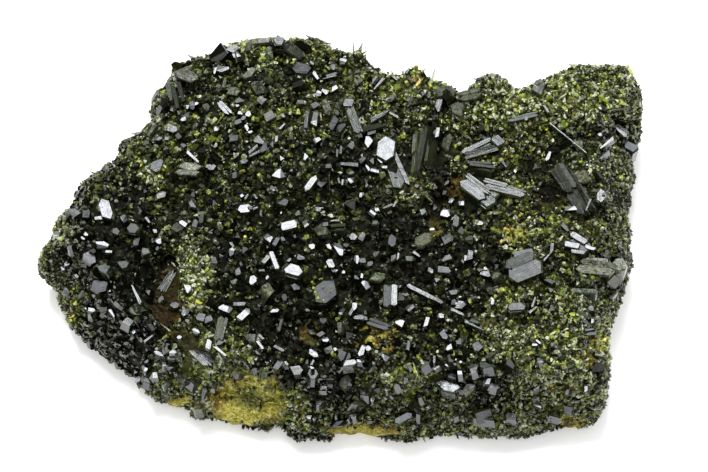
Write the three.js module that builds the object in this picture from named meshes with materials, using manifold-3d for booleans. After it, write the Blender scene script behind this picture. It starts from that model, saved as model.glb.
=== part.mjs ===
// An epidote crystal cluster: a slab of ochre host rock that carries one crust of intergrown
// dark green crystals, with the larger single crystals and blade fans seated in pockets of
// that crust. Millimetres, +Z up. The slab lies on its flat underside with the crystals up,
// and the origin is the middle of its footprint.
import * as THREE from "three";
import { mergeVertices } from "three/addons/utils/BufferGeometryUtils.js";
import Module from "manifold-3d";

// ---- driving dimensions (mm) ----
const PLATEAU = 18.2; // general height of the crystal tips over the base
const CRUST = 3.5; // thickness of the crystal crust on the top
const CRUST_WALL = 3.2; // thickness of the crust where it wraps the sides
const GAP = 0.3; // clearance between neighbouring pieces
const CELL = 5.0; // spacing of the points on the crust's top
const RIM_CELL = 7; // the same for the line where the crust ends on the side walls
const CORE_CELL = 11; // spacing of the points on the hidden face between crust and rock
const SLENDER = 1.35; // blades narrower than this have plain edges
const WALL_ROUGH = 0.45; // raggedness of the broken side walls
const EDGE_ROUND = 0.045; // how fast the shoulder draws in above the widest line
const UNDERCUT = 0.035; // how fast the wall draws in below the widest line
const LEVELS = [-20, -6, 0, 5, 10, 18]; // wall rings, above (+) or below (-) the widest line
const SMALL_CRYSTALS = 22; // crystals that stand out of the crust and are one with it

// Hills and hollows of the crystal crust: x, y, radius x, radius y, height, turn in degrees.
const HILLS = [
  [-8, 2, 19, 15, 3, 0],
  [-18, 18, 13, 9, 1.5, -20],
  [40, 17, 11, 11, 2.6, 0],
  [34, -16, 14, 12, 1.6, 0],
  [-38, -4, 11, 11, 1.6, 0],
  [8, -20, 12, 8, 1, 0],
  [-28.6, -9, 2.6, 7.5, -5, 0],
  [15.8, 9.5, 2, 9, -4.5, -4],
  [19, 2.5, 4, 3.5, -2, 0],
  [34, 8, 2.8, 2.4, -4.5, 0],
  [31.4, 13, 1.5, 2, -3, 0],
  [29, 1, 4.5, 3, -1.8, 0],
  [-6.5, -19, 8, 6, -1.2, 0],
  [13, 25, 4, 4, -2, 0],
  [24, 24.5, 3, 3, 1.6, 0],
];

// Where the crust stops and bare rock shows: x, y, radius x, radius y, height of the rock.
const RIM = 3.4;
const BARE_ROCK = [
  [-15.5, -31, 8.5, 5.5, 6.5],
  [4.0, -34, 8.5, 3.0, 2.6],
  [-27, -29, 3.5, 4, 3.5],
  [44.5, -17.5, 4.5, 5, 3.4],
  [38.5, -31.5, 4, 3, 2.2],
  [12.6, 28.6, 3.2, 3.2, 6.5],
  [-46.5, -12.5, 4, 6, 3.0],
  [50, 4, 3, 4, 2.5],
];

// The slab's widest line, seen from above: x, y and the height at which it lies.
const OUTLINE = [
  [-50.8, -4.8, 7.6], [-50.9, -6.8, 6.1], [-48.4, -8.2, 4.7], [-47.6, -10.8, 3.5], [-45.6, -15.0, 3.1], [-40.0, -20.4, 2.8],
  [-34.1, -23.7, 2.4], [-33.2, -25.5, 2.0], [-30.9, -27.2, 1.9], [-26.1, -28.4, 1.6], [-24.6, -30.4, 1.3], [-20.9, -30.2, 1.1],
  [-13.9, -32.5, 1.1], [-12.0, -31.5, 1.1], [-10.5, -31.7, 1.1], [-8.0, -34.0, 1.0], [-2.3, -33.9, 1.0], [-0.4, -32.9, 1.0],
  [3.4, -32.6, 1.0], [7.2, -33.9, 1.0], [10.1, -34.2, 1.0], [12.9, -34.0, 1.0], [16.0, -32.9, 1.0], [19.1, -33.4, 1.0],
  [24.0, -33.5, 1.0], [30.2, -33.4, 1.0], [36.0, -31.7, 1.1], [40.0, -31.9, 1.7], [41.8, -30.9, 3.2], [43.0, -29.2, 5.0],
  [43.9, -24.0, 5.8], [44.3, -16.1, 5.9], [45.7, -13.1, 5.9], [48.8, -4.5, 6.0], [48.0, -2.8, 6.4], [48.6, 1.2, 6.9],
  [47.9, 3.2, 6.9], [49.0, 6.3, 6.7], [48.6, 8.1, 6.6], [49.8, 10.6, 6.4], [48.8, 14.0, 6.5], [50.6, 16.9, 7.8],
  [50.9, 23.3, 10.0], [48.7, 27.6, 12.0], [39.0, 27.2, 12.8], [30.1, 22.9, 13.0], [28.3, 24.1, 13.0], [26.2, 26.3, 13.0],
  [23.1, 24.8, 13.0], [19.4, 22.3, 13.0], [18.9, 23.7, 12.8], [14.7, 25.6, 12.6], [13.6, 27.7, 12.7], [11.7, 27.3, 12.9],
  [9.3, 26.0, 12.8], [5.5, 27.0, 12.8], [3.4, 30.8, 12.6], [1.2, 30.1, 12.5], [-1.1, 31.0, 12.7], [-4.5, 33.1, 12.8],
  [-6.5, 32.4, 12.9], [-8.2, 33.0, 13.0], [-9.9, 32.2, 13.0], [-12.0, 32.8, 13.0], [-13.0, 32.2, 12.9], [-16.2, 31.9, 12.8],
  [-20.9, 31.0, 12.8], [-22.9, 29.7, 12.7], [-25.0, 29.3, 12.4], [-28.0, 28.4, 11.8], [-29.3, 27.7, 10.9], [-31.1, 24.0, 10.1],
  [-32.9, 21.3, 10.0], [-32.7, 18.8, 10.4], [-35.3, 14.9, 10.7], [-37.7, 13.9, 11.1], [-38.1, 11.2, 11.1], [-43.9, 6.8, 10.9],
  [-45.2, 2.8, 10.6], [-48.0, 0.4, 10.0], [-48.3, -2.1, 9.0],
];

// The larger crystals. Each row is one blade: middle of its bright face x, y, z; long axis;
// face normal; length, width, depth; share of the length that tapers at each end.
// Rows under one name have grown together.
const CRYSTALS = {
  bright_prism_left: [
    [-37.86, -0.39, 20.80, 0.317, -0.947, 0.052, -0.037, 0.043, 0.998, 4.23, 2.29, 3.40, 0.32],
  ],
  grey_prism_left_upper: [
    [-40.40, -7.70, 18.00, 0.800, -0.599, 0.008, -0.124, -0.153, 0.980, 2.85, 2.13, 3.40, 0.30],
  ],
  grey_prism_left_large: [
    [-38.77, -11.80, 16.40, 0.966, 0.253, 0.062, -0.011, -0.197, 0.980, 3.44, 2.29, 3.40, 0.30],
  ],
  grey_prism_left_inner: [
    [-33.26, -3.71, 20.80, 0.950, -0.181, 0.254, -0.264, -0.036, 0.964, 2.23, 1.64, 3.40, 0.30],
  ],
  dull_prism_left_lower: [
    [-32.78, -15.91, 16.40, 0.995, -0.101, 0.022, -0.052, -0.302, 0.952, 2.79, 1.47, 3.40, 0.30],
  ],
  fibrous_blade_left: [
    [-28.37, -10.60, 15.10, 0.521, 0.853, 0.002, -0.374, 0.226, 0.899, 4.45, 0.98, 1.50, 0.15],
    [-27.79, -10.84, 15.30, 0.427, 0.904, -0.030, -0.204, 0.129, 0.971, 4.17, 0.57, 1.50, 0.15],
  ],
  ridge_block_top: [
    [-10.59, 30.01, 19.40, 0.998, -0.022, 0.059, -0.053, 0.233, 0.971, 1.97, 1.47, 3.40, 0.18],
    [-8.08, 28.13, 19.50, 0.798, -0.487, -0.355, 0.274, -0.232, 0.933, 4.48, 1.80, 1.53, 0.20],
  ],
  dull_block_top: [
    [-6.81, 24.86, 19.70, 0.988, -0.109, -0.108, 0.085, -0.197, 0.977, 3.44, 1.96, 3.40, 0.30],
  ],
  slanted_prism_top_left: [
    [-25.74, 23.28, 20.20, 0.912, -0.408, 0.045, -0.152, -0.234, 0.960, 4.33, 1.80, 1.53, 0.30],
  ],
  white_blade_top_left: [
    [-19.23, 17.11, 21.00, 0.647, -0.760, 0.058, -0.009, 0.069, 0.998, 3.45, 0.98, 1.50, 0.20],
  ],
  white_prism_upper_mid: [
    [-5.11, 3.56, 22.10, 0.543, 0.839, -0.039, -0.048, 0.077, 0.996, 3.46, 1.15, 3.40, 0.25],
  ],
  frosted_prism_upper_left: [
    [-24.88, 6.50, 20.80, 0.994, -0.083, 0.077, -0.090, -0.163, 0.983, 4.61, 1.96, 1.67, 0.25],
  ],
  slim_prism_top: [
    [0.86, 18.53, 20.00, 0.990, -0.107, 0.093, -0.075, 0.162, 0.984, 1.98, 1.64, 3.40, 0.15],
    [1.92, 15.33, 20.20, 0.324, -0.946, -0.004, 0.318, 0.105, 0.942, 5.18, 1.47, 1.50, 0.10],
  ],
  broad_white_prism: [
    [7.02, 10.23, 20.40, 0.129, 0.991, -0.035, -0.054, 0.043, 0.998, 4.76, 3.11, 3.40, 0.28],
    [8.37, 7.93, 20.70, 0.322, -0.929, -0.180, 0.215, -0.113, 0.970, 7.28, 2.45, 2.09, 0.10],
  ],
  upright_needle_sheaf: [
    [11.57, 10.03, 19.40, 0.099, 0.995, 0.008, -0.456, 0.038, 0.889, 7.98, 0.65, 1.50, 0.10],
    [12.64, 10.47, 19.20, 0.170, 0.974, 0.150, -0.372, -0.078, 0.925, 8.00, 0.98, 1.50, 0.10],
    [13.84, 11.40, 17.80, 0.111, 0.991, -0.071, -0.510, 0.118, 0.852, 7.52, 0.65, 1.50, 0.10],
  ],
  dark_block_notch: [
    [17.00, 21.49, 18.20, 0.988, -0.037, -0.152, 0.154, 0.391, 0.907, 3.30, 2.29, 3.40, 0.20],
  ],
  blade_stack: [
    [21.85, 11.34, 19.00, 0.889, 0.457, 0.013, -0.037, 0.043, 0.998, 5.62, 0.82, 1.50, 0.08],
    [25.16, 11.97, 19.60, 0.690, -0.711, 0.136, 0.068, 0.251, 0.966, 2.47, 1.64, 3.40, 0.15],
    [22.46, 10.20, 19.20, 0.961, 0.266, 0.075, 0.008, -0.296, 0.955, 6.22, 1.15, 1.50, 0.10],
    [23.16, 11.11, 18.70, 0.938, 0.339, 0.067, -0.024, -0.129, 0.991, 4.92, 1.15, 1.50, 0.10],
  ],
  striated_blade_fan: [
    [21.94, 3.69, 18.70, 0.749, -0.656, 0.093, 0.007, 0.148, 0.989, 7.41, 2.78, 2.36, 0.16],
    [26.62, 3.74, 18.80, 0.936, -0.338, 0.093, -0.026, 0.196, 0.980, 7.02, 1.64, 1.50, 0.16],
    [24.80, 4.99, 18.70, 0.961, -0.273, 0.051, -0.028, 0.088, 0.996, 4.30, 0.74, 1.50, 0.10],
    [24.17, 4.23, 18.20, 0.886, -0.460, 0.057, 0.068, 0.251, 0.966, 4.02, 2.78, 2.36, 0.20],
  ],
  flat_blade_notch: [
    [20.87, 20.27, 19.30, 0.914, 0.024, 0.405, -0.402, -0.089, 0.911, 4.23, 1.64, 1.50, 0.20],
  ],
  lath_top_right: [
    [29.57, 16.13, 19.80, 0.968, 0.249, -0.032, -0.002, 0.133, 0.991, 5.44, 0.82, 1.50, 0.12],
  ],
  long_grey_prism_right: [
    [36.52, 3.61, 19.80, 0.460, -0.883, 0.093, -0.264, -0.036, 0.964, 9.95, 2.13, 1.81, 0.14],
    [38.18, 4.07, 19.50, 0.461, -0.887, 0.006, 0.332, 0.179, 0.926, 8.60, 0.98, 1.50, 0.10],
  ],
  bright_prism_group: [
    [36.57, -6.02, 19.70, 0.968, -0.242, 0.063, -0.054, 0.043, 0.998, 2.65, 1.15, 1.50, 0.06],
    [37.49, -7.17, 19.60, 0.987, -0.157, 0.026, -0.019, 0.043, 0.999, 2.30, 0.65, 1.50, 0.06],
    [37.76, -4.76, 19.50, 0.817, -0.572, 0.079, -0.054, 0.060, 0.997, 3.23, 0.98, 1.50, 0.10],
    [37.90, -6.01, 19.20, 0.926, -0.376, 0.047, 0.016, 0.163, 0.987, 3.66, 2.45, 2.09, 0.20],
  ],
  broad_plate_crystal: [
    [28.81, -9.96, 20.60, 0.926, 0.337, 0.167, -0.098, -0.213, 0.972, 6.22, 3.76, 3.20, 0.25],
    [28.72, -7.37, 19.70, 0.964, 0.265, 0.027, -0.054, 0.095, 0.994, 3.61, 0.98, 1.50, 0.10],
  ],
  bluish_long_prism: [
    [40.71, -9.48, 18.50, 0.989, -0.150, 0.006, -0.052, -0.302, 0.952, 6.56, 2.13, 1.81, 0.12],
    [40.61, -8.18, 18.40, 0.996, -0.060, 0.062, -0.054, 0.130, 0.990, 3.61, 0.74, 1.50, 0.05],
    [44.78, -7.65, 14.70, 0.463, -0.883, 0.082, 0.013, 0.099, 0.995, 2.48, 2.13, 3.40, 0.20],
  ],
  right_edge_prism: [
    [45.98, 15.44, 15.60, 0.779, -0.623, -0.069, 0.190, 0.130, 0.973, 2.98, 1.31, 1.50, 0.15],
  ],
  right_edge_block: [
    [48.00, 14.21, 11.70, 0.858, -0.511, -0.044, 0.142, 0.154, 0.978, 2.64, 1.96, 3.40, 0.20],
  ],
  bright_prism_right: [
    [41.55, 2.35, 19.70, 0.065, 0.997, -0.041, -0.019, 0.043, 0.999, 2.65, 1.31, 3.40, 0.30],
  ],
  white_prism_centre_left: [
    [-15.60, -0.64, 21.70, 0.994, 0.093, 0.050, -0.054, 0.043, 0.998, 2.62, 1.47, 3.40, 0.25],
  ],
  white_prism_centre: [
    [-8.48, -3.48, 21.80, 0.968, 0.248, 0.025, -0.037, 0.043, 0.998, 2.79, 1.31, 3.40, 0.10],
  ],
  white_bar_centre: [
    [-10.82, -9.02, 20.80, 0.348, -0.936, 0.053, -0.037, 0.043, 0.998, 3.52, 0.90, 3.40, 0.08],
  ],
  white_hexagon_centre: [
    [-7.65, -10.67, 20.50, 0.946, -0.316, 0.076, -0.054, 0.078, 0.996, 3.49, 1.96, 3.40, 0.24],
  ],
  large_dull_prism_centre: [
    [-2.74, -13.86, 19.80, 0.781, 0.618, 0.088, 0.023, -0.170, 0.985, 4.79, 3.11, 3.40, 0.30],
  ],
  ridged_block_centre: [
    [7.01, -14.77, 20.30, 0.016, 1.000, -0.016, -0.293, 0.020, 0.956, 4.03, 1.31, 3.40, 0.12],
    [8.14, -14.57, 20.20, 0.016, 0.999, -0.042, -0.019, 0.043, 0.999, 3.72, 1.06, 3.40, 0.08],
  ],
  long_needle_centre: [
    [13.05, -14.29, 19.60, 0.870, -0.490, 0.050, -0.014, 0.076, 0.997, 6.70, 0.65, 1.50, 0.06],
  ],
  grey_prism_centre_right: [
    [12.84, -5.21, 19.80, 0.846, 0.472, 0.249, -0.264, -0.036, 0.964, 3.28, 1.96, 3.40, 0.28],
  ],
  lath_centre_low: [
    [5.77, -19.27, 19.40, 0.927, -0.351, 0.135, -0.187, -0.118, 0.975, 4.05, 1.15, 1.50, 0.15],
  ],
  kite_prism_low: [
    [0.41, -26.89, 13.50, 0.405, 0.886, 0.226, -0.174, -0.168, 0.970, 2.63, 1.64, 3.40, 0.30],
  ],
  white_flake_low_right: [
    [16.76, -27.35, 13.10, 0.968, -0.242, 0.063, -0.054, 0.043, 0.998, 4.30, 1.47, 3.40, 0.30],
  ],
  leaning_prism_low_left: [
    [-23.09, -22.26, 14.90, 0.712, -0.695, 0.101, -0.288, -0.158, 0.944, 7.29, 1.96, 1.67, 0.10],
  ],
  olive_prism_low_left: [
    [-19.25, -19.32, 17.70, 0.132, 0.991, 0.019, -0.424, 0.039, 0.905, 4.49, 1.64, 1.50, 0.12],
  ],
  lath_front_right: [
    [9.68, -31.67, 9.00, 0.887, 0.456, 0.070, -0.030, -0.095, 0.995, 3.29, 1.06, 1.50, 0.15],
  ],
  grey_prism_right_mid: [
    [27.37, -16.62, 20.40, 0.995, 0.069, 0.066, -0.078, 0.179, 0.981, 3.11, 1.47, 1.50, 0.18],
  ],
  lath_right: [
    [38.31, -13.37, 18.60, 0.997, -0.067, 0.030, -0.010, 0.279, 0.960, 4.42, 0.98, 1.50, 0.10],
  ],
};

const wasm = await Module();
wasm.setup();

// ---- small helpers ----
function randoms(seed) {
  let a = seed >>> 0;
  return () => {
    a = (a + 0x6d2b79f5) >>> 0;
    let t = Math.imul(a ^ (a >>> 15), 1 | a);
    t = (t + Math.imul(t ^ (t >>> 7), 61 | t)) ^ t;
    return ((t ^ (t >>> 14)) >>> 0) / 4294967296;
  };
}

function toSolid(geometry) {
  const g = geometry.clone();
  g.deleteAttribute("normal");
  g.deleteAttribute("uv");
  const m = mergeVertices(g, 1e-4);
  const solid = new wasm.Manifold(
    new wasm.Mesh({
      numProp: 3,
      vertProperties: new Float32Array(m.attributes.position.array),
      triVerts: new Uint32Array(m.index.array),
    }),
  );
  if (solid.volume() < 0) throw new Error("inside out");
  return solid;
}

function toGeometry(solid) {
  const mesh = solid.getMesh();
  const g = new THREE.BufferGeometry();
  g.setAttribute("position", new THREE.BufferAttribute(new Float32Array(mesh.vertProperties), 3));
  g.setIndex(new THREE.BufferAttribute(new Uint32Array(mesh.triVerts), 1));
  const flat = g.toNonIndexed();
  flat.computeVertexNormals();
  return flat;
}

const largest = (solid) =>
  solid.decompose().reduce((a, b) => (b.volume() > a.volume() ? b : a));

// Height of the crystal tips over the plate, away from its edge.
function tips(x, y) {
  let z = PLATEAU;
  for (const [cx, cy, rx, ry, rise, turn] of HILLS) {
    const c = Math.cos((turn * Math.PI) / 180),
      s = Math.sin((turn * Math.PI) / 180);
    const p = ((x - cx) * c + (y - cy) * s) / rx,
      q = (-(x - cx) * s + (y - cy) * c) / ry;
    z += rise * Math.exp(-(p * p + q * q));
  }
  return z;
}

// Height up to which the side walls are bare rock.
function rim(x, y) {
  let z = RIM + 0.5 * Math.sin(x * 0.61 + 1.3) + 0.5 * Math.sin(y * 0.53 + x * 0.17);
  for (const [cx, cy, rx, ry, rise] of BARE_ROCK)
    z += rise * Math.exp(-(((x - cx) / rx) ** 2) - ((y - cy) / ry) ** 2);
  return z;
}

// A block whose upper face follows a height over the plate.
function terrain(height, cell, rough, seed) {
  const w = 116,
    d = 84,
    bottom = -6;
  const nx = Math.round(w / cell),
    ny = Math.round(d / cell);
  const g = new THREE.BoxGeometry(w, d, 2, nx, ny, 1);
  g.deleteAttribute("normal");
  g.deleteAttribute("uv");
  const m = mergeVertices(g, 1e-4);
  const rand = randoms(seed);
  const p = m.attributes.position;
  for (let i = 0; i < p.count; i++) {
    if (p.getZ(i) < 0) {
      p.setZ(i, bottom);
      continue;
    }
    let x = p.getX(i),
      y = p.getY(i);
    if (Math.abs(x) < w / 2 - 0.01 && Math.abs(y) < d / 2 - 0.01) {
      x += (rand() - 0.5) * rough * cell;
      y += (rand() - 0.5) * rough * cell;
      p.setXY(i, x, y);
    }
    p.setZ(i, height(x, y) + (rand() - 0.5) * rough * 2.8);
  }
  return toSolid(m);
}

// A closed stack of rings with the plate's outline, drawn in above and below its widest line.
function walls(levels, inset, rough, step, seed) {
  const ring = OUTLINE.filter((_, i) => i % step === 0);
  const n = ring.length;
  const rand = randoms(seed);
  const pos = [];
  const rows = [];
  for (const level of levels) {
    const row = [];
    for (let i = 0; i < n; i++) {
      const [x, y, z0] = ring[i];
      const a = ring[(i + n - 1) % n],
        b = ring[(i + 1) % n];
      let tx = b[0] - a[0],
        ty = b[1] - a[1];
      const t = Math.hypot(tx, ty);
      const draw =
        inset +
        (level > 0 ? EDGE_ROUND : UNDERCUT) * Math.min(level * level, level > 0 ? 330 : 60) +
        (level === 0 ? 0 : (rand() - 0.5) * rough * 2);
      // mostly towards the middle, partly along the local normal
      const r = Math.hypot(x, y);
      const k = 0.75;
      let px = x - draw * (k * (x / r) + (1 - k) * (ty / t));
      let py = y - draw * (k * (y / r) + (1 - k) * (-tx / t));
      let pz = z0 + level;
      if (level === levels[0]) pz = -4;
      if (level === levels[levels.length - 1]) pz = 34;
      row.push(pos.length / 3);
      pos.push(px, py, pz);
    }
    rows.push(row);
  }
  const index = [];
  for (let j = 0; j + 1 < rows.length; j++)
    for (let i = 0; i < n; i++) {
      const a = rows[j][i],
        b = rows[j][(i + 1) % n],
        c = rows[j + 1][(i + 1) % n],
        d = rows[j + 1][i];
      if ((i + j) % 2) index.push(a, b, c, a, c, d);
      else index.push(a, b, d, b, c, d);
    }
  // flat ends, as fans about the middle
  for (const [row, up] of [
    [rows[0], false],
    [rows[rows.length - 1], true],
  ]) {
    const mid = pos.length / 3;
    pos.push(0, 0, pos[3 * row[0] + 2]);
    for (let i = 0; i < n; i++) {
      const a = row[i],
        b = row[(i + 1) % n];
      up ? index.push(mid, a, b) : index.push(mid, b, a);
    }
  }
  const g = new THREE.BufferGeometry();
  g.setAttribute("position", new THREE.Float32BufferAttribute(pos, 3));
  g.setIndex(index);
  return toSolid(g);
}

// One blade: a six-sided face with bevelled edges, carried down along its normal.
function blade([x, y, z, ax, ay, az, nx, ny, nz, length, width, depth, taper]) {
  const h = length / 2,
    w = width / 2,
    t = taper * length,
    bevel = Math.min(0.22 * width, 0.45);
  const face = [
    [h, w * 0.25],
    [h - t, w],
    [-h + t * 0.7, w],
    [-h, -w * 0.15],
    [-h + t * 0.9, -w],
    [h - t * 0.75, -w],
  ];
  const rings = [
    [0, bevel],
    [-0.9 * bevel, 0],
    [-depth, 0.12 * width],
  ];
  // slender blades have no bevel worth the name
  return prism([x, y, z, ax, ay, az, nx, ny, nz], face, w, width < SLENDER ? [[0, 0], rings[2]] : rings);
}

// The room a blade takes in the crust: its outline with the clearance all round, open above.
function seat([x, y, z, ax, ay, az, nx, ny, nz, length, width, depth, taper]) {
  const h = length / 2 + GAP,
    w = width / 2 + GAP,
    t = taper > 0.2 ? taper * length * 0.45 : 0;
  const face = t
    ? [[h, 0], [h - t, w], [-h + t, w], [-h, 0], [-h + t, -w], [h - t, -w]]
    : [[h, w], [-h, w], [-h, -w], [h, -w]];
  return prism([x, y, z, ax, ay, az, nx, ny, nz], face, w, [
    [4, 0],
    [-depth - GAP, 0],
  ]);
}

// Rings of a face outline at several heights along the normal, each drawn in by some amount.
function prism([x, y, z, ax, ay, az, nx, ny, nz], face, w, rings) {
  const A = new THREE.Vector3(ax, ay, az).normalize();
  const N = new THREE.Vector3(nx, ny, nz).normalize();
  const B = new THREE.Vector3().crossVectors(N, A).normalize();
  A.crossVectors(B, N).normalize();
  const C = new THREE.Vector3(x, y, z);
  const pos = [];
  for (const [up, draw] of rings)
    for (const [u, v] of face) {
      const fu = Math.sign(u) * Math.max(Math.abs(u) - draw, 0.05),
        fv = v * (1 - draw / w);
      const p = C.clone().addScaledVector(A, fu).addScaledVector(B, fv).addScaledVector(N, up);
      pos.push(p.x, p.y, p.z);
    }
  // the face outlines run clockwise seen from the normal's side
  const n = face.length,
    last = n * (rings.length - 1),
    index = [];
  for (let j = 0; j < last; j += n)
    for (let i = 0; i < n; i++) {
      const a = j + i,
        b = j + ((i + 1) % n);
      index.push(a, b, a + n, b, b + n, a + n);
    }
  for (let i = 1; i + 1 < n; i++) {
    index.push(0, i + 1, i);
    index.push(last, last + i, last + i + 1);
  }
  const flip = (face[0][0] * face[1][1] - face[1][0] * face[0][1]) > 0;
  if (flip) for (let i = 0; i < index.length; i += 3) [index[i + 1], index[i + 2]] = [index[i + 2], index[i + 1]];
  const g = new THREE.BufferGeometry();
  g.setAttribute("position", new THREE.Float32BufferAttribute(pos, 3));
  g.setIndex(index);
  return toSolid(g);
}

// A small crystal of the crust: a tapering five-sided prism with a blunt end.
function smallCrystal(x, y, z, rand) {
  const r = 1.0 + 0.9 * rand();
  const g = new THREE.CylinderGeometry(r * 0.45, r, 4.2, 5, 1);
  g.translate(0, -0.8, 0);
  g.scale(0.7 + 0.5 * rand(), 1, 1);
  g.rotateY(rand() * 6.28);
  g.rotateX(Math.PI / 2 - 0.7 * rand());
  g.rotateZ(rand() * 6.28);
  g.translate(x, y, z);
  return toSolid(g);
}

// ---- the pieces ----
const outer = walls(LEVELS, 0, WALL_ROUGH, 1, 11).intersect(terrain(tips, CELL, 0.55, 7));
const innerLevels = [-9, 0, 7, 12, 18];
const pocket = walls(innerLevels, CRUST_WALL, 0, 4, 3).intersect(
  terrain((x, y) => tips(x, y) - CRUST, CORE_CELL, 0, 1),
);
const core = walls(innerLevels, CRUST_WALL + GAP, 0, 4, 3).intersect(
  terrain((x, y) => tips(x, y) - CRUST - GAP - 0.05, CORE_CELL, 0, 1),
);
const floor = new THREE.BoxGeometry(130, 100, 40);
floor.translate(0, 0, -20);
const foot = terrain(rim, RIM_CELL, 0, 21);
const footLow = terrain((x, y) => rim(x, y) - GAP, RIM_CELL, 0, 21);

const matrix = largest(
  outer.intersect(footLow).add(core).subtract(toSolid(floor)),
);

let druse = outer.subtract(foot).subtract(pocket);
const rows = Object.values(CRYSTALS).flat();
const rand = randoms(77);
const spots = [];
for (let tries = 0; spots.length < SMALL_CRYSTALS && tries < 4000; tries++) {
  const x = (rand() - 0.5) * 96,
    y = (rand() - 0.5) * 62;
  const inside = OUTLINE.every(([px, py]) => Math.hypot(px - x, py - y) > 5.5) && within(x, y);
  const clear = rows.every(
    (r) => Math.hypot(r[0] - x, r[1] - y) > r[9] / 2 + 1.8,
  );
  if (inside && clear && spots.every((s) => Math.hypot(s[0] - x, s[1] - y) > 4.2)) spots.push([x, y]);
}
for (const [x, y] of spots) druse = druse.add(smallCrystal(x, y, tips(x, y) - 0.2, rand));
druse = druse.subtract(pocket);
for (const row of rows) druse = druse.subtract(seat(row));
druse = largest(druse);

function within(x, y) {
  let c = false;
  for (let i = 0, j = OUTLINE.length - 1; i < OUTLINE.length; j = i++) {
    const [xi, yi] = OUTLINE[i],
      [xj, yj] = OUTLINE[j];
    if (yi > y !== yj > y && x < ((xj - xi) * (y - yi)) / (yj - yi) + xi) c = !c;
  }
  return c;
}

// ---- materials ----
const rock = new THREE.MeshStandardMaterial({ color: 0x8f7a3a, roughness: 0.92, metalness: 0 });
const crust = new THREE.MeshStandardMaterial({ color: 0x2b3216, roughness: 0.4, metalness: 0 });
const crystal = new THREE.MeshStandardMaterial({ color: 0x1b2114, roughness: 0.14, metalness: 0 });

// ---- assembly ----
const cluster = new THREE.Group();
function piece(name, solid, material) {
  const mesh = new THREE.Mesh(toGeometry(solid), material);
  mesh.name = name;
  cluster.add(mesh);
}
piece("host_rock", matrix, rock);
piece("crystal_crust", druse, crust);
for (const [name, blades] of Object.entries(CRYSTALS)) {
  let solid = blade(blades[0]);
  for (const row of blades.slice(1)) solid = solid.add(blade(row));
  // a root ends where the crust does
  solid = largest(solid.subtract(pocket).subtract(foot));
  piece(name, solid, crystal);
}

// the origin is the middle of the footprint
const extent = new THREE.Box3().setFromObject(cluster);
const middle = extent.getCenter(new THREE.Vector3());
for (const mesh of cluster.children) mesh.geometry.translate(-middle.x, -middle.y, 0);

export default cluster;
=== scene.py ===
import math

import bpy
import numpy as np
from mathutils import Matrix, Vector
from mathutils.bvhtree import BVHTree


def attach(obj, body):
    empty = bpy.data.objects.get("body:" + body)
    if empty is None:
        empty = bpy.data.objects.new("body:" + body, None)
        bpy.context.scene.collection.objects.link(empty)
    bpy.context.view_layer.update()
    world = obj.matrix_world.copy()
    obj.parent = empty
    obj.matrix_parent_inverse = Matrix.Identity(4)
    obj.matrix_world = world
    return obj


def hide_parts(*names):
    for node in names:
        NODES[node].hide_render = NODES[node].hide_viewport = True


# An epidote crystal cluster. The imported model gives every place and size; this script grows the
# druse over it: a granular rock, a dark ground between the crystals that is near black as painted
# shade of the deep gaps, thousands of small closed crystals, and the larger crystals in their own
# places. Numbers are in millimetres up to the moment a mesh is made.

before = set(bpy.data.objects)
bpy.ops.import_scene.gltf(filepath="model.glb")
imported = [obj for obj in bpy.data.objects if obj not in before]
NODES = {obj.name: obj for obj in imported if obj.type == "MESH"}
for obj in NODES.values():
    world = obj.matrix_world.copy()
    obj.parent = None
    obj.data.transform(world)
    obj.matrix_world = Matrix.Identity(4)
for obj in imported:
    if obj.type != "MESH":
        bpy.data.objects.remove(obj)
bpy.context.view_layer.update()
MM = 0.001
ORIGIN = np.array([0.0, 0.0, 0.0])

# ---------------------------------------------------------------- camera of the picture
LENS, SENSOR = 100.0, 36.0
WIDE, HIGH = 708.0, 472.0
PIXELS = LENS / SENSOR * WIDE
SHIFT = np.array([0.0, 0.55, 0.0])  # from the picture's axes to the middle of the footprint
AIM = np.array([1.84, -1.776, 12.0]) + SHIFT
FAR = 322.0
RISE = math.radians(70.0)
BACK = np.array([0.0, -math.cos(RISE), math.sin(RISE)])
RIGHT = np.array([1.0, 0.0, 0.0])
UP = np.array([0.0, math.sin(RISE), math.cos(RISE)])
EYE = AIM + FAR * BACK
KEY = np.array([-0.10, 0.42, 0.90])
KEY /= np.linalg.norm(KEY)
HALF = BACK + KEY
HALF /= np.linalg.norm(HALF)


def to_picture(p):
    d = np.asarray(p, float) - EYE
    w = -(d @ BACK)
    return WIDE / 2 + PIXELS * (d @ RIGHT) / w, HIGH / 2 - PIXELS * (d @ UP) / w


def unit(v):
    v = np.asarray(v, float)
    return v / np.maximum(np.linalg.norm(v, axis=-1, keepdims=True), 1e-12)


# ---------------------------------------------------------------- noise
def lattice(ix, iy, iz, seed):
    h = (ix * 374761393 + iy * 668265263 + iz * 2147483647 + seed * 1274126177) & 0xFFFFFFFF
    h = ((h ^ (h >> 13)) * 1274126177) & 0xFFFFFFFF
    h = ((h ^ (h >> 16)) * 2246822519) & 0xFFFFFFFF
    return ((h ^ (h >> 15)) & 0xFFFFFF) / float(0xFFFFFF) * 2 - 1


def noise(p, size, seed=0):
    """Smooth value noise in -1..1 with features of the given size."""
    q = np.asarray(p, float) / size + 1000.0
    i = np.floor(q).astype(np.int64)
    f = q - i
    f = f * f * (3 - 2 * f)
    out = 0.0
    for dx in (0, 1):
        wx = f[:, 0] if dx else 1 - f[:, 0]
        for dy in (0, 1):
            wy = f[:, 1] if dy else 1 - f[:, 1]
            for dz in (0, 1):
                wz = f[:, 2] if dz else 1 - f[:, 2]
                out = out + wx * wy * wz * lattice(i[:, 0] + dx, i[:, 1] + dy, i[:, 2] + dz, seed)
    return out


def fractal(p, size, octaves, seed=0, gain=0.5):
    out, a = 0.0, 1.0
    for k in range(octaves):
        out = out + a * noise(p, size, seed + 17 * k)
        a *= gain
        size *= 0.5
    return out


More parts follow.
